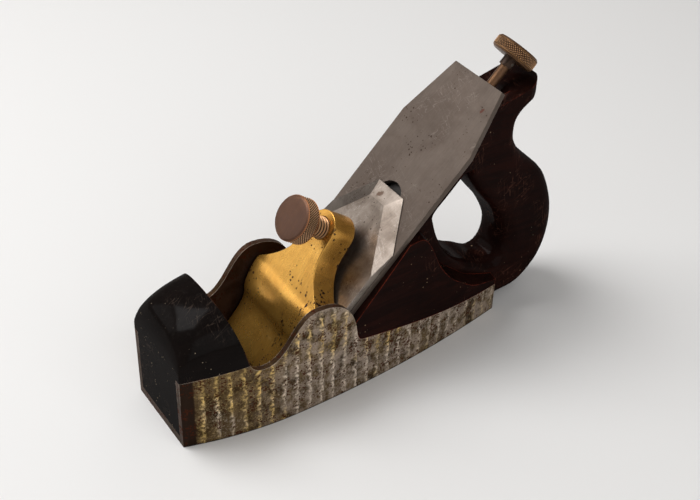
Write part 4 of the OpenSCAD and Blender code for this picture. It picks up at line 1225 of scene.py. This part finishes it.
@dataclass
class Adjuster:
    """The screw adjuster: spindle, collars, swivel, carriage and its knurled knob."""

    axis_down: float = 11.4 * MM
    knob: Knob = field(default_factory=lambda: Knob(12.3 * MM, 217.5 * MM, 7.0 * MM, 6))
    bore: float = 2.7 * MM
    bore_chamfer: float = 0.2 * MM
    plain_nodes: dict[str, Finish] = field(default_factory=lambda: {
        "adjuster_spindle": GOLDEN_BRONZE, "stop_collars": BRONZE, "knob_collar": DARK_BRONZE, "knob_pin": DARK_STEEL,
        "carriage": OILED_STEEL, "swivel_barrel": GUNMETAL, "swivel_plate": GUNMETAL, "swivel_screws": DARK_STEEL})

    def build(self) -> None:
        """Builds the knob and finishes the rest as it is."""
        knob, cut, place = self.knob, self.bore_chamfer, Placing.bed().then((0.0, 0.0, -self.axis_down), -90.0)
        profile = [(self.bore, knob.low + cut), (self.bore + cut, knob.low), (knob.face, knob.low), *knob.rim(),
                   (knob.face, knob.top), (self.bore + cut, knob.top), (self.bore, knob.top - cut)]
        mesh = turned("adjusting_knob", profile, place)
        piece("adjusting_knob", mesh, GOLDEN_BRONZE, Carrier.SPINDLE, "adjuster_knob")
        knob.knurl("adjusting_knob_knurl", "adjuster_knurl_bronze", place, Carrier.SPINDLE)
        finish_nodes(self.plain_nodes)


def finish_nodes(finishes: dict[str, Finish]) -> None:
    """Gives CAD nodes that stay as they are their finishes.

    Args:
        finishes: The finish of each node.
    """
    for node, finish in finishes.items():
        finish.cover(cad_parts[node].data)
        LOG.info("node %s finished in %s", node, finish.name)


# Surroundings


@dataclass(frozen=True)
class Lamp:
    """A square soft lamp that looks at the middle of the plane."""

    name: str
    place: Point
    size: float
    watts: float
    target: Point = (0.0, 0.02, 0.05)

    def build(self) -> None:
        """Adds the lamp."""
        data = bpy.data.lights.new(self.name, "AREA")
        data.shape, data.size, data.energy = "SQUARE", self.size, self.watts
        turn = (Vector(self.target) - Vector(self.place)).to_track_quat("-Z", "Y").to_matrix().to_4x4()
        placed(self.name, data).matrix_world = Matrix.Translation(self.place) @ turn


@dataclass
class Studio:
    """The camera at the photograph's view, a pale floor and soft light."""

    lens: float = 64.52
    sensor: float = 36.0
    near: float = 0.01
    far: float = 50.0
    place: Point = (0.4252139, -0.2763912, 0.4520416)
    azimuth: float = 55.754
    elevation: float = 37.140
    roll: float = 1.800
    floor_colour: Colour = (0.80, 0.79, 0.78)
    floor_rough: float = 0.75
    floor_size: float = 8.0
    surround: float = 0.27
    surround_colour: Colour = (1.0, 0.985, 0.965)
    lamps: tuple[Lamp, ...] = (
        Lamp("key", (-0.45, -0.40, 1.2), 0.8, 13.0), Lamp("front", (-0.85, -0.78, 0.60), 0.7, 2.2),
        Lamp("fill", (1.3, 0.0, 0.8), 1.5, 8.0), Lamp("back", (-0.9, 0.9, 1.1), 0.8, 1.0))

    def camera(self) -> None:
        """Adds the camera."""
        a, e, t = (math.radians(v) for v in (self.azimuth, self.elevation, self.roll))
        back = Vector((math.sin(a) * math.cos(e), -math.cos(a) * math.cos(e), math.sin(e)))
        level = Vector((0.0, 0.0, 1.0)).cross(back).normalized()
        right = math.cos(t) * level + math.sin(t) * back.cross(level)
        data = bpy.data.cameras.new("view")
        data.lens, data.sensor_width, data.sensor_fit = self.lens, self.sensor, "HORIZONTAL"
        data.clip_start, data.clip_end = self.near, self.far
        camera = placed("view", data)
        turn = Matrix((right, back.cross(right), back)).transposed().to_4x4()
        camera.matrix_world = Matrix.Translation(self.place) @ turn
        bpy.context.scene.camera = camera

    def floor(self) -> None:
        """Adds the floor that the plane stands on."""
        half = self.floor_size / 2
        mesh = bpy.data.meshes.new("floor")
        mesh.from_pydata([(-half, -half, 0), (half, -half, 0), (half, half, 0), (-half, half, 0)], [], [(0, 1, 2, 3)])
        material = bpy.data.materials.new("floor")
        material.use_nodes = True
        Graph(material.node_tree).wire(material.node_tree.nodes["Principled BSDF"],
                                       {"Base Color": (*self.floor_colour, 1.0), "Roughness": self.floor_rough})
        mesh.materials.append(material)
        thing = placed("floor", mesh)

    def world(self) -> None:
        """Sets the even light from all round."""
        world = bpy.data.worlds.new("studio")
        bpy.context.scene.world = world
        world.use_nodes = True
        Graph(world.node_tree).wire(world.node_tree.nodes["Background"],
                                    {"Color": (*self.surround_colour, 1.0), "Strength": self.surround})

    def build(self) -> None:
        """Builds the whole surround."""
        self.camera()
        self.floor()
        for lamp in self.lamps:
            lamp.build()
        self.world()
        bpy.context.scene.view_settings.view_transform = "Standard"


def main() -> None:
    """Builds the studio, then each sub-assembly in turn."""
    logging.basicConfig(level=logging.INFO, format="%(message)s")
    Studio().build()
    Channel().build()
    Woodwork().build()
    CutterPair().build()
    LeverCap().build()
    Adjuster().build()


if __name__ == "__main__":
    main()
